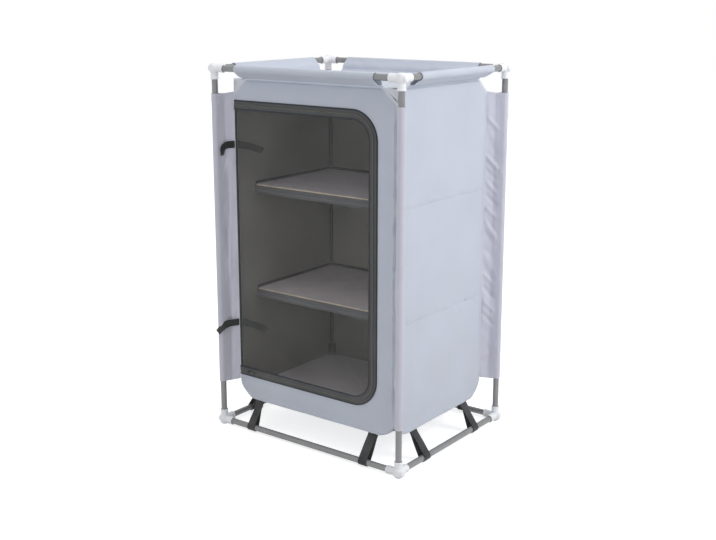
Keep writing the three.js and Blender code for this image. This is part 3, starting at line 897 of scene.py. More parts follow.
@dataclass(frozen=True)
class NetFinish:
    """See-through knitted net."""

    name: str
    colour: Colour
    pitch: float = 1.6 * MM
    open_share: float = 0.03
    thread_share: float = 0.18

    def made(self) -> bpy.types.Material:
        """Builds the material.

        Returns:
            The material.
        """
        material, graph, shader = started(self.name)
        cloth = graph.add("ShaderNodeUVMap", uv_map="cloth").outputs[0]
        place = graph.add("ShaderNodeTexCoord").outputs["Object"]
        thread = graph.group("net", {"Vector": cloth, "Pitch": self.pitch}).outputs[0]
        patches = graph.group("mottle", {"Vector": place, "Scale": 6.0}).outputs[0]
        graph.feed(shader, {
            "Base Color": graph.blend(patches, rgba(self.colour, 0.72), rgba(self.colour, 1.35)),
            "Alpha": graph.span(thread, 0.0, 1.0, self.open_share, self.thread_share),
            "Roughness": graph.span(patches, 0, 1, 0.62, 0.74),
            "Normal": graph.bumped(thread, 0.15 * MM, 0.5), "Specular IOR Level": 0.3})
        return material


@dataclass(frozen=True)
class HardFinish:
    """Moulded plastic, coated tube, painted metal or board."""

    name: str
    colour: Colour
    worn: Colour
    roughness: float = 0.4
    relief: float = 0.02 * MM
    grain: float = 900.0
    wear: float = 0.25
    metallic: float = 0.0
    coat: float = 0.0
    variety: float = 0.04
    dust: float = 0.2

    def made(self) -> bpy.types.Material:
        """Builds the material.

        Returns:
            The material.
        """
        material, graph, shader = started(self.name)
        place = graph.add("ShaderNodeTexCoord").outputs["Object"]
        grain = graph.group("grain", {"Vector": place, "Scale": self.grain, "Wear": self.wear})
        patches = graph.group("mottle", {"Vector": place, "Scale": 22.0}).outputs[0]
        tone = graph.blend(patches, rgba(self.colour, 1 - self.variety), rgba(self.colour, 1 + self.variety))
        tone = graph.blend(grain.outputs["Rubbed"], tone, rgba(self.worn))
        soil = graph.group("soil", {"Vector": place, "Low": 0.0, "High": 0.12}).outputs[0]
        tone = graph.blend(graph.math("MULTIPLY", soil, self.dust), tone, (0.36, 0.34, 0.31, 1.0))
        graph.feed(shader, {
            "Base Color": tone,
            "Roughness": graph.math("MULTIPLY_ADD", grain.outputs["Rubbed"], 0.3, self.roughness),
            "Normal": graph.bumped(grain.outputs["Height"], self.relief, 0.5), "Metallic": self.metallic,
            "Coat Weight": self.coat, "Coat Roughness": 0.25})
        return material


class Finishes:
    """The materials of the whole wardrobe, each built once."""

    def __init__(self) -> None:
        """Builds the shared effects and then the materials."""
        for build in (build_weave, build_ribs, build_net, build_mottle, build_soil, build_grain):
            build()
        self.cloth = ClothFinish("cabinet_cloth", (0.59, 0.635, 0.74), variety=0.03, light_through=0.5).made()
        # Painted shade: the inner faces of the walls get this dark colour, which stands in for the shade inside the
        # closed cabinet.
        self.shaded_lining = ClothFinish("coated_inside", (0.33, 0.325, 0.305), variety=0.05, dust=0.0).made()
        # Painted light: the hems are paler than the cloth, to stand in for light that shines through and onto the open
        # top corners.
        self.hem = ClothFinish("painted_light_hem", (0.76, 0.78, 0.86), variety=0.03, light_through=0.4).made()
        self.shelf = ClothFinish("shelf_cloth", (0.16, 0.165, 0.18), variety=0.05, dust=0.0).made()
        # Painted shade: the dark tapes inside stand in for the shadow along the shelf seams and in the inside corners.
        self.seam_tape = ClothFinish("seam_tape", (0.10, 0.102, 0.11), variety=0.1, dust=0.0).made()
        # Partly the cover's own pale tone and partly painted light: made lighter still to stand in for light falling
        # on the floor board through the door.
        self.cover = ClothFinish("board_cover_painted_light", (0.92, 0.87, 0.91), variety=0.05, dust=0.0).made()
        self.wing = ClothFinish("wing_cloth", (0.63, 0.635, 0.735), variety=0.04, light_through=0.3).made()
        self.net = NetFinish("door_net", (0.19, 0.19, 0.187)).made()
        self.tape = ClothFinish("zip_tape_cloth", (0.12, 0.125, 0.13), pitch=1.3 * MM, relief=0.2 * MM,
                                ribbed=True, variety=0.16, sheen=0.25, dust=0.08).made()
        self.binding = ClothFinish("edge_binding", (0.04, 0.045, 0.052), pitch=0.8 * MM, relief=0.15 * MM,
                                   variety=0.14, sheen=0.25, dust=0.08).made()
        self.webbing = ClothFinish("webbing_cloth", (0.035, 0.036, 0.04), pitch=1.8 * MM, relief=0.3 * MM,
                                   ribbed=True, variety=0.18, sheen=0.3, dust=0.15).made()
        self.pale_thread = ClothFinish("pale_thread", (0.5, 0.54, 0.63), pitch=0.5 * MM, ribbed=True,
                                       variety=0.1).made()
        self.dark_thread = ClothFinish("dark_thread", (0.09, 0.095, 0.1), pitch=0.5 * MM, ribbed=True,
                                       variety=0.1, dust=0.05).made()
        self.tube = HardFinish("coated_tube", (0.255, 0.26, 0.268), (0.4, 0.4, 0.41), roughness=0.36,
                               wear=0.3, metallic=0.25, dust=0.25).made()
        self.plastic = HardFinish("white_plastic", (0.9, 0.92, 0.95), (0.92, 0.94, 0.96), roughness=0.36,
                                  relief=0.03 * MM, wear=0.2, variety=0.02, dust=0.3).made()
        self.rubber = HardFinish("grey_rubber", (0.22, 0.23, 0.24), (0.3, 0.3, 0.3), roughness=0.75).made()
        # Partly the board's own pale tone and partly painted light: made lighter still to stand in for light falling
        # on the shelf tops through the door.
        self.board = HardFinish("board_face_painted_light", (0.90, 0.83, 0.88), (0.92, 0.86, 0.9), roughness=0.55,
                                relief=0.05 * MM, grain=350.0, wear=0.4, variety=0.07, dust=0.0).made()
        self.edge = HardFinish("board_edge", (0.86, 0.70, 0.54), (0.9, 0.76, 0.6), roughness=0.85,
                               relief=0.15 * MM, grain=1400.0, wear=0.6, variety=0.2, dust=0.0).made()
        self.zip = HardFinish("painted_casting", (0.035, 0.036, 0.038), (0.3, 0.3, 0.3), roughness=0.35,
                              wear=0.2, metallic=0.2, coat=0.2, dust=0.0).made()
        self.teeth = HardFinish("nylon_teeth", (0.17, 0.165, 0.15), (0.2, 0.2, 0.2), roughness=0.38,
                                wear=0.2, dust=0.0).made()


@dataclass
class Assembly:
    """What every sub-assembly has: the sizes, the finishes and a way to make its pieces."""

    sizes: Sizes
    finishes: Finishes

    def finished(self, draft: Draft, name: str, finishes: Sequence[bpy.types.Material], slot: str, *nodes: str,
                 body: str = "cabinet", sharp: float = 38) -> bpy.types.Object:
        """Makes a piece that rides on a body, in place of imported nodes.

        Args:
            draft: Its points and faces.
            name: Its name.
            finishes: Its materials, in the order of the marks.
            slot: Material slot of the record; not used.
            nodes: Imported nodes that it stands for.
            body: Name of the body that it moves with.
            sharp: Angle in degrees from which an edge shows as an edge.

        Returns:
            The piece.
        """
        piece = draft.made(name, finishes, sharp)
        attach(piece, body)
        if nodes:
            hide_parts(*nodes)
        LOG.info("%s: %d faces on %s", piece.name, len(piece.data.polygons), body)
        return piece


@dataclass
class TubeFrame(Assembly):
    """Twelve thin tubes and eight moulded corners."""

    wall: float = 1.0 * MM
    socket: float = 10.1 * MM
    collar: float = 11.0 * MM
    ring: float = 10.8 * MM
    core: float = 13.0 * MM
    core_round: float = 7.0 * MM
    plug: float = 9.2 * MM
    bore: float = 8.4 * MM
    bore_floor: float = 11.0 * MM
    pad_radius: float = 9.5 * MM
    pad_height: float = 2.4 * MM

    def pipe(self, name: str, node: str, axis: int) -> None:
        """Makes one tube where its node is.

        Args:
            name: Name of the piece.
            node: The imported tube.
            axis: Axis that it runs along.
        """
        low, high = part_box(node)
        half = (high[axis] - low[axis]) / 2
        outer, inner, soft = self.sizes.tube, self.sizes.tube - self.wall, 0.25 * MM
        rows = spaced(-half + soft, half - soft, 0.12)
        profile = [(inner + soft, -half), (outer - soft, -half), *[(outer, row) for row in rows],
                   (outer - soft, half), (inner + soft, half), *[(inner, row) for row in rows[::-1]]]
        points, faces = lathe(profile, closed=True)
        draft = Draft()
        draft.add(points @ np.roll(np.eye(3), axis + 1, axis=1) + np.array((low + high) / 2), faces)
        self.finished(draft, name, [self.finishes.tube], "frame_tube", node)

    def arm(self, length: float) -> list[tuple[float, float]]:
        """Profile of a socket arm, flared into the core, with a rib ring and a collar.

        Args:
            length: Length of the arm from the middle of the core.

        Returns:
            Radius and height of each ring.
        """
        flare = [(self.socket + 2.2 * MM * (1 - share) ** 2, (6 + 9 * share) * MM) for share in np.linspace(0, 1, 7)]
        ring = length - 11.5 * MM
        rib = [(ring - 1.8 * MM, 0), (ring - 1.1 * MM, 0.75), (ring - 0.5 * MM, 1), (ring + 0.5 * MM, 1),
               (ring + 1.1 * MM, 0.75), (ring + 1.8 * MM, 0)]
        ribs = [(self.socket + (self.ring - self.socket) * rise, height) for height, rise in rib]
        mouth = [(-5.8, 0), (-5.2, 0.6), (-4.6, 0.92), (-4.0, 1), (-1.0, 1), (-0.5, 0.85), (-0.15, 0.5), (0, 0)]
        collar = [(self.socket + (self.collar - self.socket) * rise, length + step * MM) for step, rise in mouth]
        return [(self.socket + 2 * MM, 0.0), *flare, *ribs, *collar]

    def part(self, profile: Sequence[tuple[float, float]], axis: int, sign: int = 1) -> bpy.types.Object:
        """One turned body of a corner, as an object of its own.

        Args:
            profile: Radius and height of each ring.
            axis: Axis that it points along.
            sign: -1 to point it the other way.

        Returns:
            The object.
        """
        points, faces = lathe(profile)
        if sign < 0:
            points = points * np.array([1, -1, -1])
        draft = Draft()
        draft.add(points @ np.roll(np.eye(3), axis + 1, axis=1), faces)
        return draft.made("turned_part", [])

    def corner_mesh(self, arms: Sequence[float]) -> tuple[Array, list]:
        """Moulded corner whose arms point along +X, +Y and +Z.

        Args:
            arms: Length of each arm from the middle of the core.

        Returns:
            Points and faces.
        """
        flat, soft = self.core - self.core_round, self.core_round
        body = self.part([*arc(flat, 0.4 * MM - flat, soft, -QUARTER, 0, 8),
                          *arc(flat, flat - 0.4 * MM, soft, 0, QUARTER, 8)], 2)
        dome = [(self.plug * math.cos(t), (14 + 3.5 * math.sin(t)) * MM) for t in np.linspace(0, 1.25, 8)]
        plug = [(self.plug, 0.0), (self.plug, 12.2 * MM), (self.plug - 0.5 * MM, 12.8 * MM), (self.plug, 13.4 * MM)]
        added = [self.part(self.arm(length), axis) for axis, length in enumerate(arms)]
        added.append(self.part([*plug, *dome], 0, -1))
        for axis, length in enumerate(arms):
            mouth = [(self.bore, self.bore_floor), (self.bore, length - 0.9 * MM), (self.bore + 0.6 * MM, length),
                     (self.bore + 0.6 * MM, length + 2 * MM)]
            added.append(self.part(mouth, axis))
        for number, part in enumerate(added):
            step = body.modifiers.new(f"step_{number}", "BOOLEAN")
            step.operation = "UNION" if number < len(arms) + 1 else "DIFFERENCE"
            step.solver = "EXACT"
            step.object = part
        graph = bpy.context.evaluated_depsgraph_get()
        made = bpy.data.meshes.new_from_object(body.evaluated_get(graph))
        points = np.zeros(len(made.vertices) * 3)
        made.vertices.foreach_get("co", points)
        faces = [tuple(face.vertices) for face in made.polygons]
        for part in [body, *added]:
            bpy.data.objects.remove(part)
        return points.reshape(-1, 3), faces

    def build(self) -> None:
        """Builds the tubes, the corners and the pads under the lower ones."""
        _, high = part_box("corner_bottom_front_left")
        centre = Vector((-self.sizes.half_x, -self.sizes.half_y, self.sizes.low_rail))
        points, faces = self.corner_mesh([high[axis] - centre[axis] for axis in range(3)])
        for side, x in (("left", -1), ("right", 1)):
            for end, y in (("front", -1), ("rear", 1)):
                self.pipe(f"post_{end}_{side}", f"upright_{end}_{side}", 2)
                for level, z, height in (("bottom", -1, self.sizes.low_rail), ("top", 1, self.sizes.high_rail)):
                    middle = np.array([x * self.sizes.half_x, y * self.sizes.half_y, height])
                    signs = np.array([-x, -y, -z])
                    draft = Draft()
                    draft.add(points * signs + middle, faces if signs.prod() > 0 else [face[::-1] for face in faces])
                    if level == "bottom":
                        self.add_pad(draft, middle)
                    self.finished(draft, f"socket_{level}_{end}_{side}", [self.finishes.plastic, self.finishes.rubber],
                                  "corner_plastic", f"corner_{level}_{end}_{side}", sharp=32)
        for level in ("bottom", "top"):
            for side in Side:
                self.pipe(f"tube_{level}_{side.label}", f"{level}_rail_{side.label}", 0 if side.across else 1)

    def add_pad(self, draft: Draft, middle: Array) -> None:
        """Adds the rubber pad under a lower corner.

        Args:
            draft: The corner.
            middle: Middle of its core.
        """
        radius, height = self.pad_radius, self.pad_height
        points, faces = lathe([(radius - 0.6 * MM, 0.0), (radius, 0.6 * MM), (radius, height - 0.4 * MM),
                               (radius - 0.4 * MM, height)])
        draft.add(points + np.array([middle[0], middle[1], 0.0]), faces, mark=1)


# Cloth that hangs round the frame


@dataclass
class Cabinet(Assembly):
    """Four walls, a sunk ceiling and a floor."""

    thickness: float = 1.2 * MM
    edge_radius: float = 2.6 * MM
    bottom_radius: float = 50 * MM
    seam_gap: float = 0.3 * MM
    bottom_lift: float = 16 * MM
    taper: float = 46 * MM
    cut_width: float = 42 * MM
    cut_height: float = 35 * MM
    opening_inset: float = 11 * MM
    hinge_strip: float = 7 * MM
    bulge: float = 2.2 * MM
    hem: float = 7 * MM
    edge_roll: float = 4 * MM
    least_share: float = 0.302

    def seams(self) -> list[float]:
        """Heights at which the shelves are sewn to the walls."""
        return [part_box(f"shelf_cloth_{level}")[1].z - self.thickness / 2 for level in LEVELS]

    def on_wall(self, side: Side, u: Array, v: Array, lift: Array) -> tuple[Array, Array]:
        """Where places on a wall's flat cut lie in space.

        Args:
            side: The wall.
            u: Place along the wall, from its middle.
            v: Height on the flat cut.
            lift: Distance that each place stands out of the plain form.

        Returns:
            Points and outward directions.
        """
        half, depth, _ = self.sizes.halves(side)
        level = self.sizes.bottom + self.taper
        share = np.clip((level - v) / self.taper, 0, 1)
        radius = self.edge_radius + (self.bottom_radius - self.edge_radius) * share**2
        straight = self.bottom_radius - self.seam_gap - radius
        flat = half - self.bottom_radius
        run = np.clip((np.abs(u) - flat) / self.bottom_radius, 0, 1) * (straight + radius * EIGHTH)
        turn = np.clip((run - straight) / radius, 0, EIGHTH)
        along = flat + np.minimum(run, straight) + radius * np.sin(turn)
        x = np.where(np.abs(u) <= flat, u, np.sign(u) * along)
        low = self.sizes.bottom + self.bottom_lift * (turn / EIGHTH) ** 1.5
        z = np.where(share > 0, level + (low - level) * share, v)
        points = np.stack([x, -(depth - radius + radius * np.cos(turn)), z], axis=1)
        normals = np.stack([np.sign(u) * np.sin(turn), -np.cos(turn), np.zeros(len(u))], axis=1)
        points = points + normals * np.asarray(lift)[:, None]
        return turned(points, side), turned(normals, side)

    def cut_distance(self, side: Side, u: Array, v: Array) -> Array:
        """Distance of places on a wall from its nearest slanted edge.

        Args:
            side: The wall.
            u: Place along the wall.
            v: Height on the flat cut.

        Returns:
            Distances, positive on the wall.
        """
        room, fall = self.sizes.halves(side)[0] - self.cut_width, self.sizes.top - v
        length = math.hypot(self.cut_width, self.cut_height)
        return np.min([((room - end * u) * self.cut_height + fall * self.cut_width) / length
                       for end in side.cut_ends], axis=0)

    def relief(self, side: Side, u: Array, v: Array) -> Array:
        """Bulges, seams and puckers of one wall.

        Args:
            side: The wall.
            u: Place along the wall.
            v: Height on the flat cut.

        Returns:
            Distance that each place stands out of the plain form.
        """
        half, _, _ = self.sizes.halves(side)
        levels = [self.sizes.bottom, *self.seams(), self.sizes.top]
        across = np.cos(np.clip(u / half, -1, 1) * QUARTER)
        total = np.zeros(len(u))
        for low, high in zip(levels, levels[1:]):
            share = np.clip((v - low) / (high - low), 0, 1)
            total += self.bulge * np.sin(share * math.pi) ** 0.8 * across**0.7
        slow = Waves(11 + side.value, 0.09, 0.4, lean=0.7)
        quick = Waves(31 + side.value, 0.02, 0.06)
        total += 0.7 * MM * slow(u, v) * across**0.5
        draw = np.random.default_rng(51 + side.value)
        for seam in self.seams():
            total -= 0.55 * MM * bump(v - seam, 5 * MM)
            total += 0.35 * MM * quick(u, v) * bump(v - seam, 18 * MM)
            for _ in range(16):
                at, lean = draw.uniform(-half, half), draw.uniform(0.012, 0.04) * draw.choice([-1, 1])
                rise = draw.uniform(0.012, 0.045) * draw.choice([-1, 1])
                height = draw.uniform(0.25, 0.7) * MM
                total += Fold((at, seam), (at + lean, seam + rise), height, draw.uniform(3, 6) * MM).at(u, v)
        near_edge = bump(np.abs(np.abs(u) - half), 14 * MM)
        total += 0.35 * MM * near_edge * np.sin(v / (9 * MM) + 2 * quick(u, v))
        total *= smooth(half - np.abs(u), 0.0, 10 * MM)
        if side is Side.FRONT:
            tall = smooth(v, levels[0] + 40 * MM, levels[0] + 110 * MM)
            tall = tall * smooth(v, levels[-1] - 50 * MM, levels[-1] - 90 * MM)
            total += self.edge_roll * bump(half - u - 7 * MM, 4 * MM) * (1 + 0.45 * quick(u * 0, v)) * tall
        total -= 1.2 * MM * bump(levels[-1] - 3 * MM - v, 2 * MM)
        low_edge = bump(v - self.sizes.bottom, 9 * MM)
        total += 0.45 * MM * low_edge * np.sin(u / (4.2 * MM) + 1.5 * quick(u, v))
        if side is Side.FRONT:
            beyond = np.hypot(np.maximum(u - self.sizes.door_right, 0),
                              np.maximum(np.maximum(v - self.sizes.door_top, self.sizes.door_bottom - v), 0))
            total *= smooth(beyond, 1 * MM, 26 * MM)
            total -= 0.25 * MM * (beyond < 1 * MM)
        total += 0.55 * MM * smooth(v, self.sizes.bottom + 8.5 * MM, self.sizes.bottom + 7 * MM)
        cut = self.cut_distance(side, u, v)
        return total + 0.5 * MM * smooth(cut, self.hem + 1 * MM, self.hem)

    def wall(self, side: Side) -> None:
        """Builds one wall.

        Args:
            side: The wall.
        """
        half, _, _ = self.sizes.halves(side)
        top, bottom = self.sizes.top, self.sizes.bottom
        ends = {end: [(end * half, top - self.cut_height), (end * (half - self.cut_width), top)]
                if end in side.cut_ends else [(end * half, top)] for end in (-1, 1)}
        corners = [(-half, bottom), (half, bottom), *ends[1], *ends[-1][::-1]]
        outline = divided(np.array(corners), 3.5 * MM)
        edges = [(-half, -half + 5 * MM, 1 * MM), (half - 5 * MM, half, 1 * MM),
                 (-half + 5 * MM, -half + 50 * MM, 4 * MM), (half - 50 * MM, half - 5 * MM, 4 * MM)]
        zones = [(seam - 16 * MM, seam + 16 * MM, 2.5 * MM) for seam in self.seams()]
        zones += [(bottom, bottom + 12 * MM, 1.8 * MM), (bottom + 12 * MM, bottom + self.taper, 3.5 * MM),
                  (top - self.cut_height, top - 8 * MM, 3 * MM), (top - 8 * MM, top, 1 * MM)]
        holes = []
        if side is Side.FRONT:
            left = self.sizes.hinge_x + self.hinge_strip
            holes = [divided(door_edge(self.sizes, self.opening_inset, left, 14), 8 * MM)]
        flat, rows = flat_cut(outline, holes, grid_lines(-half, half, 7 * MM, *edges),
                              grid_lines(bottom, top, 7 * MM, *zones))
        outer, normals = self.on_wall(side, flat[:, 0], flat[:, 1], self.relief(side, flat[:, 0], flat[:, 1]))
        draft = Draft()
        u, v = flat[rows].mean(axis=1).T
        hem = self.cut_distance(side, u, v) < self.hem
        seam = (np.abs(u) > half - 9 * MM) & (v > top - self.cut_height - 8 * MM) | (v > top - 12 * MM)
        # Inner faces take the dark lining colour, which is painted shade.
        thickened(draft, flat, rows, outer, normals, self.thickness, (2 * hem, 1 + (hem | seam)))
        # The cut hems, and the inner faces near the top and the cut corners, take the pale hem colour, which is
        # painted light.
        finishes = [self.finishes.cloth, self.finishes.shaded_lining, self.finishes.hem]
        piece = self.finished(draft, f"{side.label}_panel", finishes, "cabinet_cloth", f"wall_{side.label}")
        thread = self.wall_thread(side)
        opening = 0.0
        if holes:
            x, z = holes[0].T
            opening = abs(float(np.sum(x * np.roll(z, -1) - np.roll(x, -1) * z))) / 2
        box = 2 * half * (top - bottom)
        area = box - len(side.cut_ends) * self.cut_width * self.cut_height / 2 - opening
        # The front wall has 0.286, so its area is raised to the least share, larger than it is.
        area = max(area, self.least_share * box)

    def wall_thread(self, side: Side) -> bpy.types.Object:
        """Rows of stitches on one wall: lower hem, cut corners, top edge, corner seams and shelf seams.

        Args:
            side: The wall.

        Returns:
            The piece of thread.
        """
        half, _, _ = self.sizes.halves(side)
        top, bottom = self.sizes.top, self.sizes.bottom
        runs = [((-half + 2 * MM, bottom + 6 * MM), (half - 2 * MM, bottom + 6 * MM))]
        slant = np.array([-self.cut_height, -self.cut_width]) / math.hypot(self.cut_width, self.cut_height)
        reach = {}
        for end in (-1, 1):
            cut = end in side.cut_ends
            reach[end] = end * (half - (self.cut_width + 6 * MM if cut else 3 * MM))
            seam_top = top - (self.cut_height + 4 * MM if cut else 8 * MM)
            runs.append(((end * (half - 7 * MM), bottom + self.taper), (end * (half - 7 * MM), seam_top)))
            if cut:
                line = np.array([(half - self.cut_width, top), (half, top - self.cut_height)]) + slant * 5 * MM
                runs.append(tuple(map(tuple, line * np.array([end, 1]))))
        runs.append(((reach[-1], top - 5 * MM), (reach[1], top - 5 * MM)))
        if side is not Side.FRONT:
            runs.extend(((-half + 4 * MM, seam), (half - 4 * MM, seam)) for seam in self.seams())
        draft = Draft()
        for first, last in runs:
            path = divided(np.array([first, last]), 3 * MM, closed=False)
            lift = self.relief(side, path[:, 0], path[:, 1])
            points, normals = self.on_wall(side, path[:, 0], path[:, 1], lift)
            stitches(draft, points, normals)
        return self.finished(draft, f"{side.label}_panel_stitching", [self.finishes.pale_thread], "cabinet_cloth")

    def ceiling(self) -> None:
        """Builds the ceiling: a slack sheet whose hem is turned down inside the walls."""
        low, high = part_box("ceiling")
        half_x, half_y, hem = high.x, high.y, high.z - low.z
        in_x, in_y = self.cut_width + 3 * MM, self.cut_height + 3 * MM
        notch = [(half_x - in_x, half_y + hem), (half_x - in_x, half_y),
                 (half_x, half_y - in_y), (half_x + hem, half_y - in_y)]
        corners = []
        for x, y, flip in ((1, 1, False), (1, -1, True), (-1, -1, False), (-1, 1, True)):
            run = [(x * u, y * v) for u, v in notch]
            corners.extend(run[::-1] if flip else run)
        outline = divided(np.array(corners), 5 * MM)
        grids = [grid_lines(-half - hem, half + hem, 9 * MM, (half - 6 * MM, half + hem, 2 * MM),
                            (-half - hem, -half + 6 * MM, 2 * MM)) for half in (half_x, half_y)]
        flat, rows = flat_cut(outline, [], *grids)
        u, v = flat.T
        over = np.maximum(np.abs(u) - half_x, 0) + np.maximum(np.abs(v) - half_y, 0)
        x, y = np.clip(u, -half_x, half_x), np.clip(v, -half_y, half_y)
        slack = np.cos(x / half_x * QUARTER) * np.cos(y / half_y * QUARTER)
        z = high.z - over - 7 * MM * slack**0.8 + 1.2 * MM * Waves(71, 0.07, 0.3)(u, v) * slack**0.5
        down = (over > 0).astype(float)[:, None]
        side = np.stack([np.sign(u) * (np.abs(u) > half_x), np.sign(v) * (np.abs(v) > half_y), 0 * u], axis=1)
        normals = unit(side * down + np.array([0, 0, 1.0]) * (1 - down) + 1e-9)
        draft = Draft()
        turned_up = over[rows].mean(axis=1) > 0
        thickened(draft, flat, rows, np.stack([x, y, z], axis=1), normals, self.thickness, (turned_up, turned_up))
        # The turned-down hem takes the pale hem colour, which is painted light.
        finishes = [self.finishes.cloth, self.finishes.hem]
        piece = self.finished(draft, "ceiling_sheet", finishes, "cabinet_cloth", "ceiling")

    def floor(self) -> None:
        """Builds the floor cloth, cut to the walls at its height, with a long crease or two."""
        low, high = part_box("floor_cloth")
        half_x, half_y = high.x, high.y
        gap = self.sizes.cabinet_x - half_x
        corner = []
        for turn in np.linspace(0, QUARTER, 17):
            lean = EIGHTH - abs(turn - EIGHTH)
            edge = self.sizes.bottom + self.bottom_lift * (lean / EIGHTH) ** 1.5
            share = (self.sizes.bottom + self.taper - low.z) / (self.sizes.bottom + self.taper - edge)
            radius = self.edge_radius + (self.bottom_radius - self.edge_radius) * share**2 + 2 * self.thickness
            corner.append((radius, turn))
        loop = []
        for number, (x, y) in enumerate(((1, 1), (-1, 1), (-1, -1), (1, -1))):
            for radius, turn in corner:
                angle = turn + number * QUARTER
                loop.append((x * (half_x + gap - radius) + (radius - gap) * math.cos(angle),
                             y * (half_y + gap - radius) + (radius - gap) * math.sin(angle)))
        outline = divided(np.array(loop), 6 * MM)
        flat, rows = flat_cut(outline, [], *[spaced(-half, half, 7 * MM) for half in (half_x, half_y)])
        u, v = flat.T
        sag = Fold((-0.10, 0.0), (0.05, -0.19), 1.2 * MM, 6 * MM).at(u, v)
        sag = sag + Fold((-0.2, 0.15), (0.02, 0.02), 1.0 * MM, 8 * MM).at(u, v) + 0.4 * MM * Waves(72, 0.05, 0.2)(u, v)
        room = np.minimum(half_x - np.abs(u), half_y - np.abs(v))
        z = low.z - np.abs(sag) * smooth(room, 0, 30 * MM)
        draft = Draft()
        down = np.tile([0.0, 0.0, -1.0], (len(u), 1))
        thickened(draft, flat, rows[:, ::-1], np.stack([u, v, z], axis=1), down, self.thickness)
        piece = self.finished(draft, "floor_sheet", [self.finishes.cloth], "cabinet_cloth", "floor_cloth")

    def gusset(self, end: int) -> None:
        """Builds the gathered end of the ceiling's hem in an open front corner, and the edge turned in beside it.

        Args:
            end: 1 on the right and -1 on the left.
        """
        half, depth, _ = self.sizes.halves(Side.FRONT)
        top, foot = self.sizes.top, self.sizes.top - self.cut_height - 1 * MM
        across, down = np.meshgrid(np.linspace(0, 1, 61), np.linspace(0, 1, 17))
        x = half - self.cut_width - 1 * MM + across * (self.cut_width - 1.5 * MM)
        high = top - 0.8 * MM - 3 * MM * across
        z = high + (top - 4 * MM - self.cut_height * across - high) * down
        fan = np.arctan2(z - foot + 5 * MM, half - x + 2 * MM) / QUARTER
        pleats = 0.5 + 0.5 * np.sin(2 * math.pi * (3.3 * fan + 0.3 * np.sin(5 * across)))
        y = -depth + 1.9 * MM + (6.5 if end > 0 else 1.2) * MM * pleats
        sheet = np.stack([end * x, y, z], axis=-1)
        draft = Draft()
        closed_grid(draft, sheet, sheet + np.array([0, 0.9 * MM, 0]), np.stack([x, z], axis=-1))
        side, height = np.meshgrid(np.linspace(0, 1, 7), np.linspace(foot - 4 * MM, top - 1.5 * MM, 24))
        x = half - 2.4 * MM - side * (5 * MM + 0.6 * MM * np.sin(height / (5 * MM)))
        y = -depth + 2.0 * MM + 0.5 * MM * np.sin(height / (7 * MM)) * side
        edge = np.stack([end * x, y, height], axis=-1)
        closed_grid(draft, edge, edge + np.array([0, 0.9 * MM, 0]), np.stack([x, height], axis=-1))
        label = "right" if end > 0 else "left"
        # The gathers take the pale hem colour, which is painted light where the open corners let light in.
        self.finished(draft, f"corner_gather_{label}", [self.finishes.hem], "cabinet_cloth")

    def build(self) -> None:
        """Builds the whole cabinet."""
        for side in Side:
            self.wall(side)
        self.ceiling()
        self.floor()
        for end in (-1, 1):
            self.gusset(end)


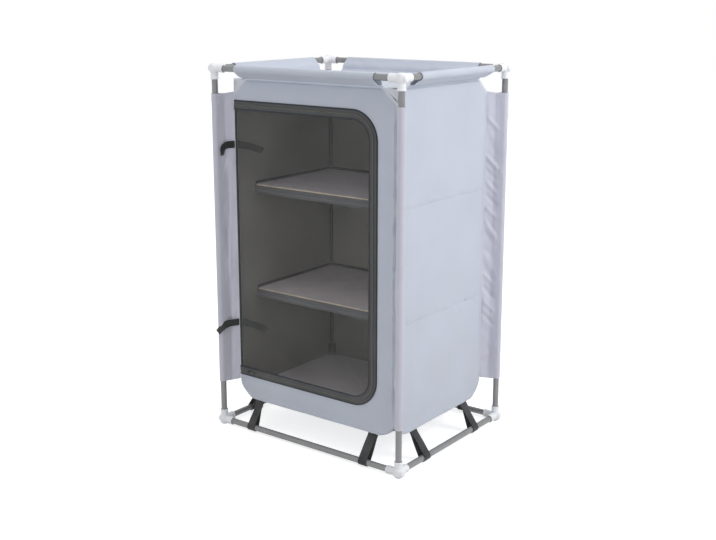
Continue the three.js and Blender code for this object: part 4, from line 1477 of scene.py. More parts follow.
@dataclass(frozen=True)
class Loop:
    """A strip of cloth or webbing that goes round a tube and runs on to what carries it."""

    centre: tuple[float, float, float]
    target: tuple[float, float, float]
    direction: tuple[float, float, float]
    width: float
    inside: float
    thickness: float
    join: float
    shift_start: float = 0.0
    shifts: tuple[float, float] = (0.0, 0.0)
    step: float = 3 * MM
    run_step: float = 6 * MM
    bulge: float = 0.0
    sag: float = 1.0
    skew: float = 0.0

    @property
    def reach(self) -> float:
        """Distance from the tube's middle to the end of the strip."""
        return float(np.linalg.norm(np.array(self.target) - np.array(self.centre)))

    def section(self) -> tuple[Array, Array]:
        """Outline of the strip across the tube, and of the opening that the tube goes through."""
        outside, half, end = self.inside + self.thickness, self.thickness / 2, self.reach
        turn = math.atan2(half, self.join) + math.acos(outside / math.hypot(self.join, half))
        around = 2 * math.pi - turn
        outer = np.concatenate([[(end, -half), (end, half), (self.join, half)],
                                arc(0, 0, outside, turn, around, 40), [(self.join, -half)]])
        hole = np.concatenate([[(self.inside / math.cos(turn), 0.0)], arc(0, 0, self.inside, around, turn, 40)])
        return divided(outer, self.step), divided(hole, self.step)

    def laid(self, section: Array, station: float, ripple: Ripple) -> Array:
        """Points of the section at one place along the tube.

        Args:
            section: Points across the tube.
            station: Place along the tube, from its middle.
            ripple: Gives how far a place stands out, from its distance, its side (1 or -1) and the station.

        Returns:
            Rows of X, Y, Z.
        """
        centre, target, direction = (np.array(item, float) for item in (self.centre, self.target, self.direction))
        tail = (target - centre) / self.reach
        across = np.cross(direction, tail)
        x, y = section.T
        side = np.where(y >= 0, 1.0, -1.0)
        share = np.clip((x - self.shift_start) / (self.reach - self.shift_start), 0, None)
        part = station / self.width + 0.5
        shift = self.shifts[0] * (1 - part) + self.shifts[1] * part
        free = np.sin(np.clip(x / self.join, 0, 1) ** self.sag * math.pi) * self.bulge * side
        lift = free + ripple(x, side, np.full(len(x), station))
        shift = (shift + self.skew * (side < 0)) * share
        return (centre + np.outer(x, tail) + np.outer(y + lift, across)
                + np.outer(station + shift, direction))

    def build(self, draft: Draft, ripple: Ripple, side: Side) -> None:
        """Adds the strip.

        Args:
            draft: The piece.
            ripple: Unevenness, as in laid.
            side: Side that the strip is turned to.
        """
        loops = self.section()
        stations = spaced(-self.width / 2, self.width / 2, self.run_step)
        _, rows = triangulated(loops)
        counts = [len(loop) for loop in loops]
        both = np.concatenate(loops)
        points = np.concatenate([self.laid(both, station, ripple) for station in stations])
        total, last = sum(counts), len(stations) - 1
        faces, start = [], 0
        for count in counts:
            faces.extend(ring_faces(start + np.arange(count) + total * np.arange(last + 1)[:, None]))
            start += count
        faces.extend(rows[:, ::-1].tolist())
        faces.extend((rows + last * total).tolist())
        lengths = np.concatenate([run_along(loop) for loop in loops])
        cloth = np.concatenate([np.stack([lengths, np.full(total, station)], axis=1) for station in stations])
        draft.add(turned(points, side), faces, cloth)

    def sew(self, draft: Draft, ripple: Ripple, side: Side, seams: Sequence[float], step: float,
            **stitch: float) -> None:
        """Adds the stitches that close the strip's two layers, on both faces.

        Args:
            draft: The piece of thread.
            ripple: Unevenness, as in laid.
            side: Side that the strip is turned to.
            seams: Distance of each seam from the tube's middle.
            step: Spacing of the places at which the strip is followed.
            stitch: Sizes of the stitches that differ from the usual ones.
        """
        stations = spaced(-self.width / 2 + 2 * MM, self.width / 2 - 2 * MM, step)
        tail = unit(np.array(self.target) - np.array(self.centre))
        for face in (1, -1):
            for seam in seams:
                place = np.array([[seam, face * self.thickness / 2]])
                path = np.concatenate([self.laid(place, station, ripple) for station in stations])
                up = np.tile(np.cross(self.direction, tail) * face, (len(path), 1))
                stitches(draft, turned(path, side), turned(up, side), **stitch)


@dataclass
class Hangings(Assembly):
    """Flaps on the top rails, wings on the uprights and webbing loops round the bottom rails."""

    cloth: float = 1.2 * MM
    clearance: float = 1.0 * MM
    flap_join: float = 6 * MM
    seat: float = 0.3 * MM
    draw: float = 4 * MM
    wing_seam: float = 24 * MM
    wing_gap: float = 0.66 * MM
    wing_rise: float = 4 * MM
    webbing: float = 1.5 * MM
    webbing_inset: float = 3 * MM
    gather: float = 2.5 * MM
    strand: float = 6 * MM

    def sewn(self, loop: Loop, ripple: Ripple, side: Side, name: str, node: str, slot: str,
             finishes: Sequence[bpy.types.Material], *seams: float, step: float = 6 * MM,
             **stitch: float) -> tuple[bpy.types.Object, bpy.types.Object]:
        """Makes a strip and the thread that closes it.

        Args:
            loop: The strip.
            ripple: Its unevenness.
            side: Side that it is turned to.
            name: Name of the piece.
            node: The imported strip.
            slot: Material slot of the record.
            finishes: Materials of the strip and of the thread.
            seams: Distance of each seam from the tube's middle.
            step: Spacing of the places at which the thread follows the strip.
            stitch: Sizes of the stitches that differ from the usual ones.

        Returns:
            The strip and the thread.
        """
        cloth, thread = Draft(), Draft()
        loop.build(cloth, ripple, side)
        piece = self.finished(cloth, name, finishes[:1], slot, node)
        loop.sew(thread, ripple, side, seams, step, **stitch)
        return piece, self.finished(thread, f"{name.removeprefix('side_')}_stitching", finishes[1:], slot)

    def flap(self, side: Side) -> None:
        """Builds the flap of one side.

        Args:
            side: The side.
        """
        _, depth, rail = self.sizes.halves(side)
        low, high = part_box(f"sleeve_{side.label}")
        width = high.x - low.x if side.across else high.y - low.y
        target = (0.0, self.cloth / 2 - depth, self.sizes.top + self.seat + self.cloth / 2)
        centre = (0.0, -rail, self.sizes.high_rail)
        draw = 0.0 if side.across else self.draw
        inside_radius = self.sizes.tube + self.clearance
        reach = math.dist(centre, target)
        loop = Loop(centre, target, (1, 0, 0), width, inside_radius, self.cloth, reach - self.flap_join,
                    inside_radius, (draw, -draw), bulge=3.4 * MM, sag=1.9)
        upper, lower = Waves(101 + side.value, 0.03, 0.12), Waves(111 + side.value, 0.03, 0.12)
        half = width / 2

        def ripple(x: Array, face: Array, station: Array) -> Array:
            """Soft unevenness between the rail and the seam, and thick hems at both ends."""
            free = smooth(x, 0.0, 0.3 * reach) * smooth(x, loop.join, 0.75 * reach)
            wave = np.where(face > 0, upper(x, station), lower(x, station)) * 0.9 * MM
            pulled = Fold((reach, -half), (0.4 * reach, -half + 0.05), 0.8 * MM, 6 * MM).at(x, station)
            pulled = pulled + Fold((reach, half), (0.4 * reach, half - 0.05), 0.8 * MM, 6 * MM).at(x, station)
            hem = 0.35 * MM * face * smooth(np.abs(station), half - 8 * MM, half - 7 * MM)
            return (wave + pulled) * free + hem * (x < loop.join)

        piece, thread = self.sewn(loop, ripple, side, f"flap_{side.label}", f"sleeve_{side.label}", "cabinet_cloth",
                                  [self.finishes.cloth, self.finishes.pale_thread], reach - 3 * MM)

    def wing(self, end: str, side: str, x: int, y: int, seed: int, slack: float, lean: int,
             creases: Sequence[tuple[float, float, float, float, float, float]]) -> None:
        """Builds one wing.

        Args:
            end: front or rear.
            side: left or right.
            x: -1 on the left, 1 on the right.
            y: -1 in front, 1 at the rear.
            seed: Seed of its folds.
            slack: Height of its folds.
            lean: 1 where most folds rise towards the upright, -1 where they fall.
            creases: Folds seen in the real one: distance from the upright and height above the ground at
                both ends, depth and width, all in millimetres.
        """
        node = f"wing_{end}_{side}"
        low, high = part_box(node)
        foot, top = low.z, high.z - self.wing_rise
        middle = (foot + top) / 2
        height = top - foot
        centre = (x * self.sizes.half_x, y * self.sizes.half_y, middle)
        target = (x * (self.sizes.cabinet_x - self.wing_gap), y * (self.sizes.cabinet_y - self.wing_gap), middle)
        loop = Loop(centre, target, (0, 0, 1), height, self.sizes.tube + self.clearance, self.cloth,
                    self.wing_seam, self.wing_seam, (self.wing_rise, self.wing_rise), step=2.5 * MM, run_step=4 * MM)
        reach = loop.reach
        draw = np.random.default_rng(seed)
        folds = [Fold((u0 * MM, v0 * MM - middle), (u1 * MM, v1 * MM - middle), depth * MM, width * MM)
                 for u0, v0, u1, v1, depth, width in creases]
        for _ in range(26):
            at = draw.uniform(-height / 2, height / 2)
            rise = draw.uniform(0.02, 0.075) * (lean if draw.random() < 0.72 else -lean)
            folds.append(Fold((reach, at), (6 * MM, at + rise), draw.uniform(-1, 1) * 2.2 * slack,
                              draw.uniform(3.5, 10) * MM))
        slow = Waves(seed + 1, 0.05, 0.22)
        quick = Waves(seed + 2, 0.018, 0.05)

        def ripple(x_at: Array, face: Array, station: Array) -> Array:
            """Diagonal folds from the cabinet's corner to the sleeve, and a hem at each end."""
            web = smooth(x_at, 11 * MM, 22 * MM) * smooth(x_at, reach, reach - 7 * MM)
            total = slow(x_at, station) * 1.6 * slack * web
            for fold in folds:
                total = total + fold.at(x_at, station) * (0.35 + 0.65 * web) * smooth(x_at, 2 * MM, 14 * MM)
            pucker = quick(x_at, station) * 0.4 * MM * bump(x_at - self.wing_seam, 5 * MM)
            sleeve = np.maximum(quick(x_at, station), 0) * 0.5 * MM * face * (x_at < 12 * MM) * (x_at > -8 * MM)
            hem = 0.4 * MM * face * smooth(np.abs(station), height / 2 - 9 * MM, height / 2 - 8 * MM)
            close = self.gather * bump(x_at - reach + 9 * MM, 5 * MM) * (0.7 + 0.3 * slow(0 * x_at, station))
            return total + pucker + sleeve + hem + close * (x > 0 > y)

        piece, thread = self.sewn(loop, ripple, Side.FRONT, f"side_{node}", node, "wing_cloth",
                                  [self.finishes.wing] * 2, self.wing_seam + 2.5 * MM)

    def strap(self, side: Side, number: int, sign: int) -> None:
        """Builds one webbing loop round a bottom rail, with its two strands a little apart at the wall.

        Args:
            side: Side of the cabinet.
            number: 1 or 2, as in its name.
            sign: Way in which its strands part.
        """
        _, depth, rail = self.sizes.halves(side)
        node = f"strap_{side.label}_{number}"
        low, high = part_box(node)
        size = high - low
        middle = turned(np.array([tuple((low + high) / 2)]), Side((4 - side.value) % 4))[0]
        width = size.x if side.across else size.y
        target = (middle[0], self.webbing_inset - depth, self.sizes.bottom - self.seat - self.webbing / 2)
        centre = (middle[0], -rail, self.sizes.low_rail)
        reach = math.dist(centre, target)
        loop = Loop(centre, target, (1, 0, 0), width, self.sizes.tube + 0.5 * MM, self.webbing, reach - 9 * MM,
                    run_step=3.2 * MM, bulge=0.8 * MM, skew=sign * self.strand)
        twist = np.random.default_rng(200 + 10 * side.value + number).uniform(-0.06, 0.06)

        def ripple(x: Array, face: Array, station: Array) -> Array:
            """A slight twist and a thick folded edge."""
            free = np.sin(np.clip(x / reach, 0, 1) * math.pi)
            edge = smooth(np.abs(station), width / 2 - 2.2 * MM, width / 2 - 1.4 * MM)
            return twist * station * free + 0.2 * MM * edge * face

        seams = (reach - 3 * MM, reach - 8 * MM)
        piece, thread = self.sewn(loop, ripple, side, f"loop_{side.label}_{number}", node, "webbing",
                                  [self.finishes.webbing, self.finishes.dark_thread], *seams, step=3 * MM,
                                  pitch=3 * MM, length=2.2 * MM)

    def build(self) -> None:
        """Builds the flaps, wings and loops."""
        for side in Side:
            self.flap(side)
            for number, sign in ((1, -1), (2, 1)):
                self.strap(side, number, sign)
        slack = {("rear", "right"): 1.3 * MM, ("front", "left"): 0.7 * MM}
        heights = [*range(755, 560, -34), *range(430, 290, -38), 860]
        creases = {
            ("rear", "right"): [(47, level, 10, level - 34, 3.6 * (-1) ** number, 5.5)
                                for number, level in enumerate(heights)],
            ("front", "left"): [(30, 700, 27, 520, 3.4, 3.5), (27, 640, 29, 440, -2.6, 4),
                                (29, 380, 26, 180, 2.6, 4), (20, 560, 26, 500, 2.2, 4), (26, 760, 14, 720, 1.6, 5)]}
        for side, x in (("left", -1), ("right", 1)):
            for end, y in (("front", -1), ("rear", 1)):
                place = (end, side)
                self.wing(end, side, x, y, 140 + 7 * x + 3 * y, slack.get(place, 1.0 * MM), -x * y,
                          creases.get(place, ()))


@dataclass
class Shelves(Assembly):
    """Two shelf cloths, each with a loose board, and the board on the floor."""

    cloth: float = 1.2 * MM
    board_round: float = 8 * MM
    chamfer: float = 0.35 * MM
    floor_cut: float = 58 * MM
    tape_width: float = 11 * MM
    low_round: float = 17 * MM
    tape_thickness: float = 0.8 * MM

    def sheet(self, level: str) -> None:
        """Builds one shelf cloth with its lip turned down in front.

        Args:
            level: lower or upper.
        """
        low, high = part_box(f"shelf_cloth_{level}")
        half, depth, lip = high.x, high.y - low.y, high.z - low.z
        waves = Waves(301 + LEVELS.index(level), 0.05, 0.25)
        columns = spaced(-half, half, 8 * MM)
        soft = 2.2 * MM
        lip_rows = spaced(0, lip - soft, 2.4 * MM)
        bend = np.linspace(0, QUARTER, 6)[1:-1]
        deck = spaced(soft, depth, 9 * MM)
        profile = [(low.y, low.z + at, -1.0, 0.0) for at in lip_rows]
        profile += [(low.y + soft - soft * math.cos(t), high.z - soft + soft * math.sin(t),
                     -math.cos(t), math.sin(t)) for t in bend]
        profile += [(low.y + at, high.z, 0.0, 1.0) for at in deck]
        y, z, normal_y, normal_z = np.array(profile).T
        run = np.concatenate([[0], np.cumsum(np.hypot(np.diff(y), np.diff(z)))])
        u, v = np.meshgrid(columns, run)
        fall = np.maximum(0, 1 - run / lip)[:, None]
        ends = smooth(half - np.abs(columns), 0, 25 * MM)[None, :]
        wave = waves(u, v) * (0.4 * MM + 1.1 * MM * fall) * ends
        hem = 0.35 * MM * smooth(run, 7.5 * MM, 6.5 * MM)[:, None]
        lift = np.where(fall > 0, wave + hem, -np.abs(wave))
        outer = np.stack([u, y[:, None] + normal_y[:, None] * lift, z[:, None] + normal_z[:, None] * lift
                          - 0.9 * MM * np.cos(u / half * QUARTER) * fall], axis=-1)
        normals = np.stack([np.zeros(len(y)), normal_y, normal_z], axis=1)[:, None]
        draft, thread = Draft(), Draft()
        closed_grid(draft, outer, outer - normals * self.cloth, np.stack([u, v], axis=-1))
        piece = self.finished(draft, f"shelf_sheet_{level}", [self.finishes.shelf], "cabinet_cloth",
                              f"shelf_cloth_{level}")
        row = int(np.searchsorted(run, 6 * MM))
        stitches(thread, outer[row], np.tile(FORWARD, (len(columns), 1)))
        seam = self.finished(thread, f"shelf_sheet_{level}_stitching", [self.finishes.pale_thread], "cabinet_cloth")

    def trim(self, name: str, line: Array, low: float, high: float) -> None:
        """Builds a thin tape that stands on edge along the inside of the walls. Its dark colour is painted shade.

        Args:
            name: Name of the piece.
            line: Rows of X and Y along its outer face, from right to left as seen from inside.
            low: Height of its lower edge.
            high: Height of its upper edge.
        """
        run = divided(line, 6 * MM, closed=False)
        side = unit(np.gradient(run, axis=0))
        inward = np.stack([-side[:, 1], side[:, 0]], axis=1)
        reach, heights = run_along(run), spaced(low, high, 6 * MM)
        rise = (heights - low) / (high - low)
        lean = 0.5 * MM * (1 + Waves(331, 0.03, 0.1)(reach, 0 * reach))[None, :] * rise[:, None]
        outer = np.stack([run[:, 0] + inward[:, 0] * lean, run[:, 1] + inward[:, 1] * lean,
                          np.broadcast_to(heights[:, None], lean.shape)], axis=-1)
        thick = np.stack([inward[:, 0], inward[:, 1], 0 * reach], axis=1)[None] * self.tape_thickness
        draft = Draft()
        closed_grid(draft, outer, outer + thick, np.stack(np.meshgrid(reach, heights), axis=-1))
        self.finished(draft, name, [self.finishes.seam_tape], "cabinet_cloth")

    def trims(self) -> None:
        """Builds the tapes that cover the seams of the shelves and of the four corners inside. Their dark colour is
        painted shade where the walls meet the shelves and each other.
        """
        levels = [self.sizes.bottom + 50 * MM]
        for level in LEVELS:
            low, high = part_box(f"shelf_cloth_{level}")
            x, y = high.x - 0.5 * MM, high.y - 0.5 * MM
            line = np.array([(x, low.y + 3 * MM), (x, y), (-x, y), (-x, low.y + 3 * MM)])
            self.trim(f"shelf_tape_{level}", line, high.z + 0.2 * MM, high.z + self.tape_width)
            levels += [low.z - 1 * MM, high.z + self.tape_width + 1 * MM]
        levels.append(self.sizes.top - 40 * MM)
        x, y = self.sizes.cabinet_x - 1.6 * MM, self.sizes.cabinet_y - 1.6 * MM
        corners = (("rear_right", 1, 1), ("rear_left", -1, 1), ("front_left", -1, -1), ("front_right", 1, -1))
        for label, sx, sy in corners:
            line = np.array([(x, y - 8 * MM), (x - 0.8 * MM, y - 0.8 * MM), (x - 8 * MM, y)]) * [sx, sy]
            flip = slice(None, None, sx * sy)
            for number, (foot, head) in enumerate(zip(levels[::2], levels[1::2]), 1):
                self.trim(f"corner_tape_{label}_{number}", line[flip], foot, head)
            low_line = arc(x - self.low_round, y - self.low_round, self.low_round, 0, QUARTER, 8) * [sx, sy]
            self.trim(f"corner_tape_{label}_0", low_line[flip], levels[0] - 29 * MM, levels[0] + 1 * MM)

    def board(self, level: str) -> None:
        """Builds the loose board of one shelf, with its raw edge.

        Args:
            level: lower or upper.
        """
        node = f"shelf_board_{level}"
        low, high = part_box(node)
        middle = np.array([(low.x + high.x) / 2, (low.y + high.y) / 2, low.z])
        loop = rounded_rectangle(high.x - low.x, high.y - low.y, self.board_round)
        draft = Draft()
        slab(draft, [loop], high.z - low.z, self.chamfer, lambda points: points + middle, 1)
        finishes = [self.finishes.board, self.finishes.edge]
        self.finished(draft, f"shelf_panel_{level}", finishes, "shelf_board", node, sharp=25)

    def floor_board(self) -> None:
        """Builds the floor board in its creased cover."""
        low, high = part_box("floor_board")
        x, y, cut = high.x, high.y, self.floor_cut * (1 - DIAGONAL)
        corners = np.array([(x, -y + 2 * cut), (x, y - 2 * cut), (x - 2 * cut, y), (-x + 2 * cut, y),
                            (-x, y - 2 * cut), (-x, -y + 2 * cut), (-x + 2 * cut, -y), (x - 2 * cut, -y)])
        flat, rows = flat_cut(divided(corners, 7 * MM), [], *[spaced(-half, half, 5 * MM) for half in (x, y)])
        u, v = flat.T
        folds = [(-200, 172, -12, 12, -1.5, 4), (-190, 176, -4, 18, 1.1, 6), (-30, -18, 60, -60, 1.2, 8),
                 (40, 120, 190, -20, -1.0, 7), (-12, 12, 90, 60, -0.9, 6)]
        puffs = sum(Fold((a * MM, b * MM), (c * MM, d * MM), rise * MM, width * MM).at(u, v)
                    for a, b, c, d, rise, width in folds) + 0.35 * MM * Waves(311, 0.04, 0.2)(u, v)
        thick = high.z - low.z + puffs * smooth(np.minimum(x - np.abs(u), y - np.abs(v)), 0, 25 * MM)
        draft = Draft()
        up = np.tile([0.0, 0.0, 1.0], (len(u), 1))
        thickened(draft, flat, rows, np.stack([u, v, low.z + thick], axis=1), up, thick)
        self.finished(draft, "floor_panel", [self.finishes.cover], "shelf_board", "floor_board")

    def build(self) -> None:
        """Builds the shelves, their tapes and the floor board."""
        for level in LEVELS:
            self.sheet(level)
            self.board(level)
        self.trims()
        self.floor_board()


def door_edge(sizes: Sizes, inset: float, left: Optional[float] = None, steps: int = 24) -> Array:
    """Edge of the door from its top left corner round to its bottom left one.

    Args:
        sizes: Sizes of the frame.
        inset: How far the line is drawn in from the zip band's outer edge.
        left: Where it ends on the left, or the hinge line.
        steps: Steps in each round corner.

    Returns:
        Rows of X and Z.
    """
    left = sizes.hinge_x if left is None else left
    right, radius = sizes.door_right - DOOR_ROUND, DOOR_ROUND - inset
    return np.concatenate([
        [(left, sizes.door_top - inset)],
        arc(right, sizes.door_top - DOOR_ROUND, radius, QUARTER, 0, steps),
        arc(right, sizes.door_bottom + DOOR_ROUND, radius, 0, -QUARTER, steps),
        [(left, sizes.door_bottom + inset)]])


@dataclass
class ZipDoor(Assembly):
    """The net door, the two halves of its zip, the slider and the pull."""

    pitch: float = 2.3 * MM
    tooth_reach: float = 0.9 * MM
    door_inset: float = 13.4 * MM
    tape: float = 13 * MM
    net_thickness: float = 0.6 * MM
    hinge_band: float = 8.5 * MM
    run_step: float = 12 * MM

    def band(self, name: str, profile: Sequence[tuple[float, float]], face: float, marks: Sequence[int],
             node: str, body: str) -> bpy.types.Object:
        """Builds a band along the door's edge, of tape with a bound rim.

        Args:
            name: Name of the piece.
            profile: Inset and height of each point round the band's section, in millimetres.
            face: Y of its back.
            marks: Finish of each face round the section, 0 for tape and 1 for binding.
            node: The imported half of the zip.
            body: Name of the body that it moves with.

        Returns:
            The piece.
        """
        base = door_edge(self.sizes, 0)
        counts = [max(1, int(math.ceil(float(np.linalg.norm(after - before)) / self.run_step)))
                  for before, after in zip(base, base[1:])]
        lines = []
        for inset, height in profile:
            line = door_edge(self.sizes, inset * MM)
            runs = [first + (last - first) * step / count
                    for first, last, count in zip(line, line[1:], counts) for step in range(count)]
            x, z = np.array([*runs, line[-1]]).T
            lines.append(np.stack([x, np.full(len(x), face - height * MM), z], axis=1))
        rings = np.stack(lines, axis=1)
        number = np.arange(rings[..., 0].size).reshape(len(rings), -1)
        insets = np.array([inset for inset, _ in profile]) * MM
        cloth = np.stack(np.meshgrid(insets, run_along(rings[:, 0])), axis=-1).reshape(-1, 2)
        draft = Draft()
        draft.add(rings.reshape(-1, 3), [*ring_faces(number), number[0, ::-1], number[-1]], cloth,
                  [*marks] * (len(rings) - 1) + [marks[0]] * 2)
        finishes = [self.finishes.tape, self.finishes.binding]
        return self.finished(draft, name, finishes, "zip_tape", node, body=body, sharp=50)

    def teeth(self, name: str, first: int, body: str) -> bpy.types.Object:
        """Builds one row of teeth.

        Args:
            name: Name of the piece.
            first: 0 for the wall's row, 1 for the door's, half a pitch on.
            body: Name of the body that it moves with.

        Returns:
            The piece.
        """
        line = divided(door_edge(self.sizes, self.tape, steps=40), 2 * MM, closed=False)
        reach = run_along(line)
        at = np.arange(2 * MM + first * self.pitch / 2, reach[-1] - 1 * MM, self.pitch)
        here = read_off(at, reach, line)
        run = unit(read_off(at + 1 * MM, reach, line) - here)
        inward = np.stack([run[:, 1], -run[:, 0]], axis=1)
        low, high = (-2.5 * MM, self.tooth_reach) if first == 0 else (-self.tooth_reach, 2.4 * MM)
        middle = here + inward * (low + high) / 2
        back = np.full(len(at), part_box("zip_tape_wall")[0].y)
        points = np.stack([middle[:, 0], back, middle[:, 1]], axis=1)
        along = np.stack([inward[:, 0], np.zeros(len(at)), inward[:, 1]], axis=1)
        draft = Draft()
        bars(draft, points, along, np.tile(FORWARD, (len(at), 1)), (high - low, 1.05 * MM, 1.3 * MM), 0.4 * MM, 0.62)
        return self.finished(draft, name, [self.finishes.teeth], "zip_tape", body=body, sharp=30)

    def rows(self, name: str, insets: Sequence[float], depth: float, body: str) -> bpy.types.Object:
        """Stitches along the door's edge.

        Args:
            name: Name of the piece.
            insets: How far each row is drawn in, in millimetres.
            depth: Y of the cloth's face.
            body: Name of the body that it moves with.

        Returns:
            The piece.
        """
        draft = Draft()
        for inset in insets:
            line = divided(door_edge(self.sizes, inset * MM), 5 * MM, closed=False)
            path = np.stack([line[:, 0], np.full(len(line), depth), line[:, 1]], axis=1)
            stitches(draft, path, np.tile(FORWARD, (len(path), 1)), pitch=3.6 * MM, length=2.6 * MM)
        return self.finished(draft, name, [self.finishes.dark_thread], "zip_tape", body=body)

    def net(self) -> None:
        """Builds the net with its gentle waves, and the door's half of the zip."""
        low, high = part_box("door_mesh")
        outline = divided(door_edge(self.sizes, self.door_inset), 7 * MM)
        grids = [grid_lines(first, last, 6 * MM) for first, last in ((low.x, high.x), (low.z, high.z))]
        flat, rows = flat_cut(outline, [], *grids)
        u, v = flat.T
        room = np.minimum(np.minimum(u - low.x, high.x - u), np.minimum(v - low.z, high.z - v))
        folds = [Fold((-0.25, 0.86), (0.0, 0.62), 1.6 * MM, 30 * MM),
                 Fold((-0.26, 0.30), (0.0, 0.52), 1.4 * MM, 28 * MM),
                 Fold((0.19, 0.88), (0.02, 0.70), -1.2 * MM, 26 * MM)]
        draw = np.random.default_rng(409)
        for _ in range(24):
            at, rise = (draw.uniform(-0.25, 0.1), draw.uniform(0.2, 0.86)), draw.uniform(-0.16, 0.16)
            end = (at[0] + draw.uniform(0.06, 0.18), at[1] + rise)
            folds.append(Fold(at, end, draw.uniform(1.2, 2.6) * MM, draw.uniform(8, 16) * MM))
        wave = Waves(401, 0.09, 0.5, lean=0.5)(u, v) * 1.6 * MM
        for fold in folds:
            wave += fold.at(u, v)
        y = low.y + 0.1 * MM + np.clip(wave, -2 * MM, 2.6 * MM) * smooth(room, 14 * MM, 90 * MM)
        draft = Draft()
        normals = np.tile(FORWARD, (len(u), 1))
        thickened(draft, flat, rows, np.stack([u, y, v], axis=1), normals, self.net_thickness)
        piece = self.finished(draft, "net_panel", [self.finishes.net], "door_mesh", "door_mesh", body="door")
        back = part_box("zip_tape_door")[1].y
        profile = [(13.5, 0.0), (13.5, 0.9), (14.0, 1.15), (21.6, 1.15), (22.0, 1.5), (22.6, 1.85), (24.6, 1.9),
                   (25.6, 1.7), (26.3, 1.1), (26.4, 0.0)]
        band = self.band("door_band", profile, back, [0, 0, 0, 0, 1, 1, 1, 1, 1, 0], "zip_tape_door", "door")
        self.hinge_edge(low, high)
        thread = self.rows("door_band_stitching", (19.6, 24.0), back - 1.15 * MM, "door")
        teeth = self.teeth("door_teeth", 1, "door")

    def hinge_edge(self, low: Vector, high: Vector) -> None:
        """Builds the binding along the net's sewn edge.

        Args:
            low: Lowest corner of the net's box.
            high: Highest corner.
        """
        draft = Draft()
        across, up = np.meshgrid(np.linspace(-1, 1, 9), spaced(low.z, high.z, 8 * MM))
        x = self.sizes.hinge_x + self.hinge_band / 2 * (1 + across)
        lift = (1 - across**2) ** 0.7 * (0.9 + 0.1 * np.sin(up / (13 * MM))) * MM
        front = np.stack([x, low.y - 0.1 * MM - lift, up], axis=-1)
        back = np.stack([x, x * 0 + low.y + 0.4 * MM, up], axis=-1)
        closed_grid(draft, front, back, np.stack([x, up], axis=-1))
        self.finished(draft, "hinge_binding", [self.finishes.binding], "zip_tape", body="door")

    def wall_half(self) -> None:
        """Builds the half of the zip that is sewn to the front wall."""
        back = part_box("zip_tape_wall")[1].y
        profile = [(0.0, 0.0), (0.1, 1.2), (0.6, 1.9), (1.6, 2.35), (3.0, 2.4), (4.0, 2.1), (4.4, 1.5),
                   (5.0, 1.45), (9.6, 1.5), (12.2, 1.6), (12.6, 1.2), (12.6, 0.0)]
        self.band("wall_band", profile, back + 0.2 * MM, [1] * 6 + [0] * 6, "zip_tape_wall", "cabinet")
        self.rows("wall_band_stitching", (7.2,), back - 1.25 * MM, "cabinet")
        self.teeth("wall_teeth", 0, "cabinet")

    def slider(self) -> None:
        """Builds the slider with its arched bail."""
        low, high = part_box("zip_slider")
        x, z = (low.x + high.x) / 2, (low.z + high.z) / 2
        half, wide, nose = (high.x - low.x) / 2, (high.z - low.z) / 2, 3 * MM
        back, thick = high.y, 3.4 * MM
        shape = np.concatenate([
            arc(-half + 1.6 * MM, -nose + 1.6 * MM, 1.6 * MM, -math.pi, -QUARTER, 4),
            [(-0.6 * MM, -nose)], [(3.2 * MM, -wide + 0.4 * MM)],
            arc(half - 2.2 * MM, -wide + 2.2 * MM, 2.2 * MM, -QUARTER, 0, 5),
            arc(half - 2.2 * MM, wide - 2.2 * MM, 2.2 * MM, 0, QUARTER, 5),
            [(3.2 * MM, wide - 0.4 * MM)], [(-0.6 * MM, nose)],
            arc(-half + 1.6 * MM, nose - 1.6 * MM, 1.6 * MM, QUARTER, math.pi, 4)])

        def place(depth: float) -> Callable[[Array], Array]:
            """Lays a plate in front of the zip at a depth."""
            return lambda points: np.stack([points[:, 0] + x, back - depth - points[:, 2], points[:, 1] + z], axis=1)

        draft = Draft()
        slab(draft, [shape], thick - 1.6 * MM, 0.45 * MM, place(1.6 * MM))
        for sign in (1, -1):
            rail = np.array([(-half + 1 * MM, 2.7 * MM), (-0.4 * MM, 2.7 * MM), (3.4 * MM, wide - 1.6 * MM),
                             (half - 1.2 * MM, wide - 1.6 * MM), (half - 1.2 * MM, wide - 0.5 * MM),
                             (3.2 * MM, wide - 0.5 * MM), (-0.7 * MM, nose), (-half + 1 * MM, nose)])
            rail[:, 1] *= sign
            slab(draft, [rail[::-1] if sign < 0 else rail], 1.8 * MM, 0.1 * MM, place(0.05 * MM))
        face, top = back - thick, low.y
        arch = arc(-2.0 * MM, 0, 1.5 * MM, math.pi, QUARTER, 5)
        path = [(-3.5 * MM, face + 0.6 * MM)] + [(px, top + 0.5 * MM + 1.5 * MM - py) for px, py in arch]
        path += [(-px, py) for px, py in path[::-1]]
        line = divided(np.array(path), 1 * MM, closed=False)
        points = np.stack([line[:, 0] + x, line[:, 1], np.full(len(line), z)], axis=1)
        swept(draft, points, 0.72 * MM, 12)
        self.finished(draft, "slider_body", [self.finishes.zip], "zip_metal", "zip_slider", body="slider", sharp=30)

    def pull(self) -> None:
        """Builds the pull: a tab with a slotted end that goes round the bail, and a raised rim."""
        low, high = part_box("zip_pull")
        length, wide, thick = high.x - low.x, (high.z - low.z) / 2, high.y - low.y
        z, start = (low.z + high.z) / 2, low.x
        soft = 2.4 * MM
        outline = np.concatenate([
            arc(1.2 * MM, -wide + 1.2 * MM, 1.2 * MM, -math.pi, -QUARTER, 4),
            arc(length - soft, -wide + soft, soft, -QUARTER, 0, 6),
            arc(length - soft, wide - soft, soft, 0, QUARTER, 6),
            arc(1.2 * MM, wide - 1.2 * MM, 1.2 * MM, QUARTER, math.pi, 4)])
        slot = rounded_rectangle(4.7 * MM, 3 * MM, 1.0 * MM, 4) + np.array([3.75 * MM, 0])
        recess = rounded_rectangle(7.6 * MM, 3.6 * MM, 1.2 * MM, 4) + np.array([12.6 * MM, 0])

        def place(points: Array) -> Array:
            """Lays the tab in front of the slider."""
            return np.stack([points[:, 0] + start, high.y - points[:, 2], points[:, 1] + z], axis=1)

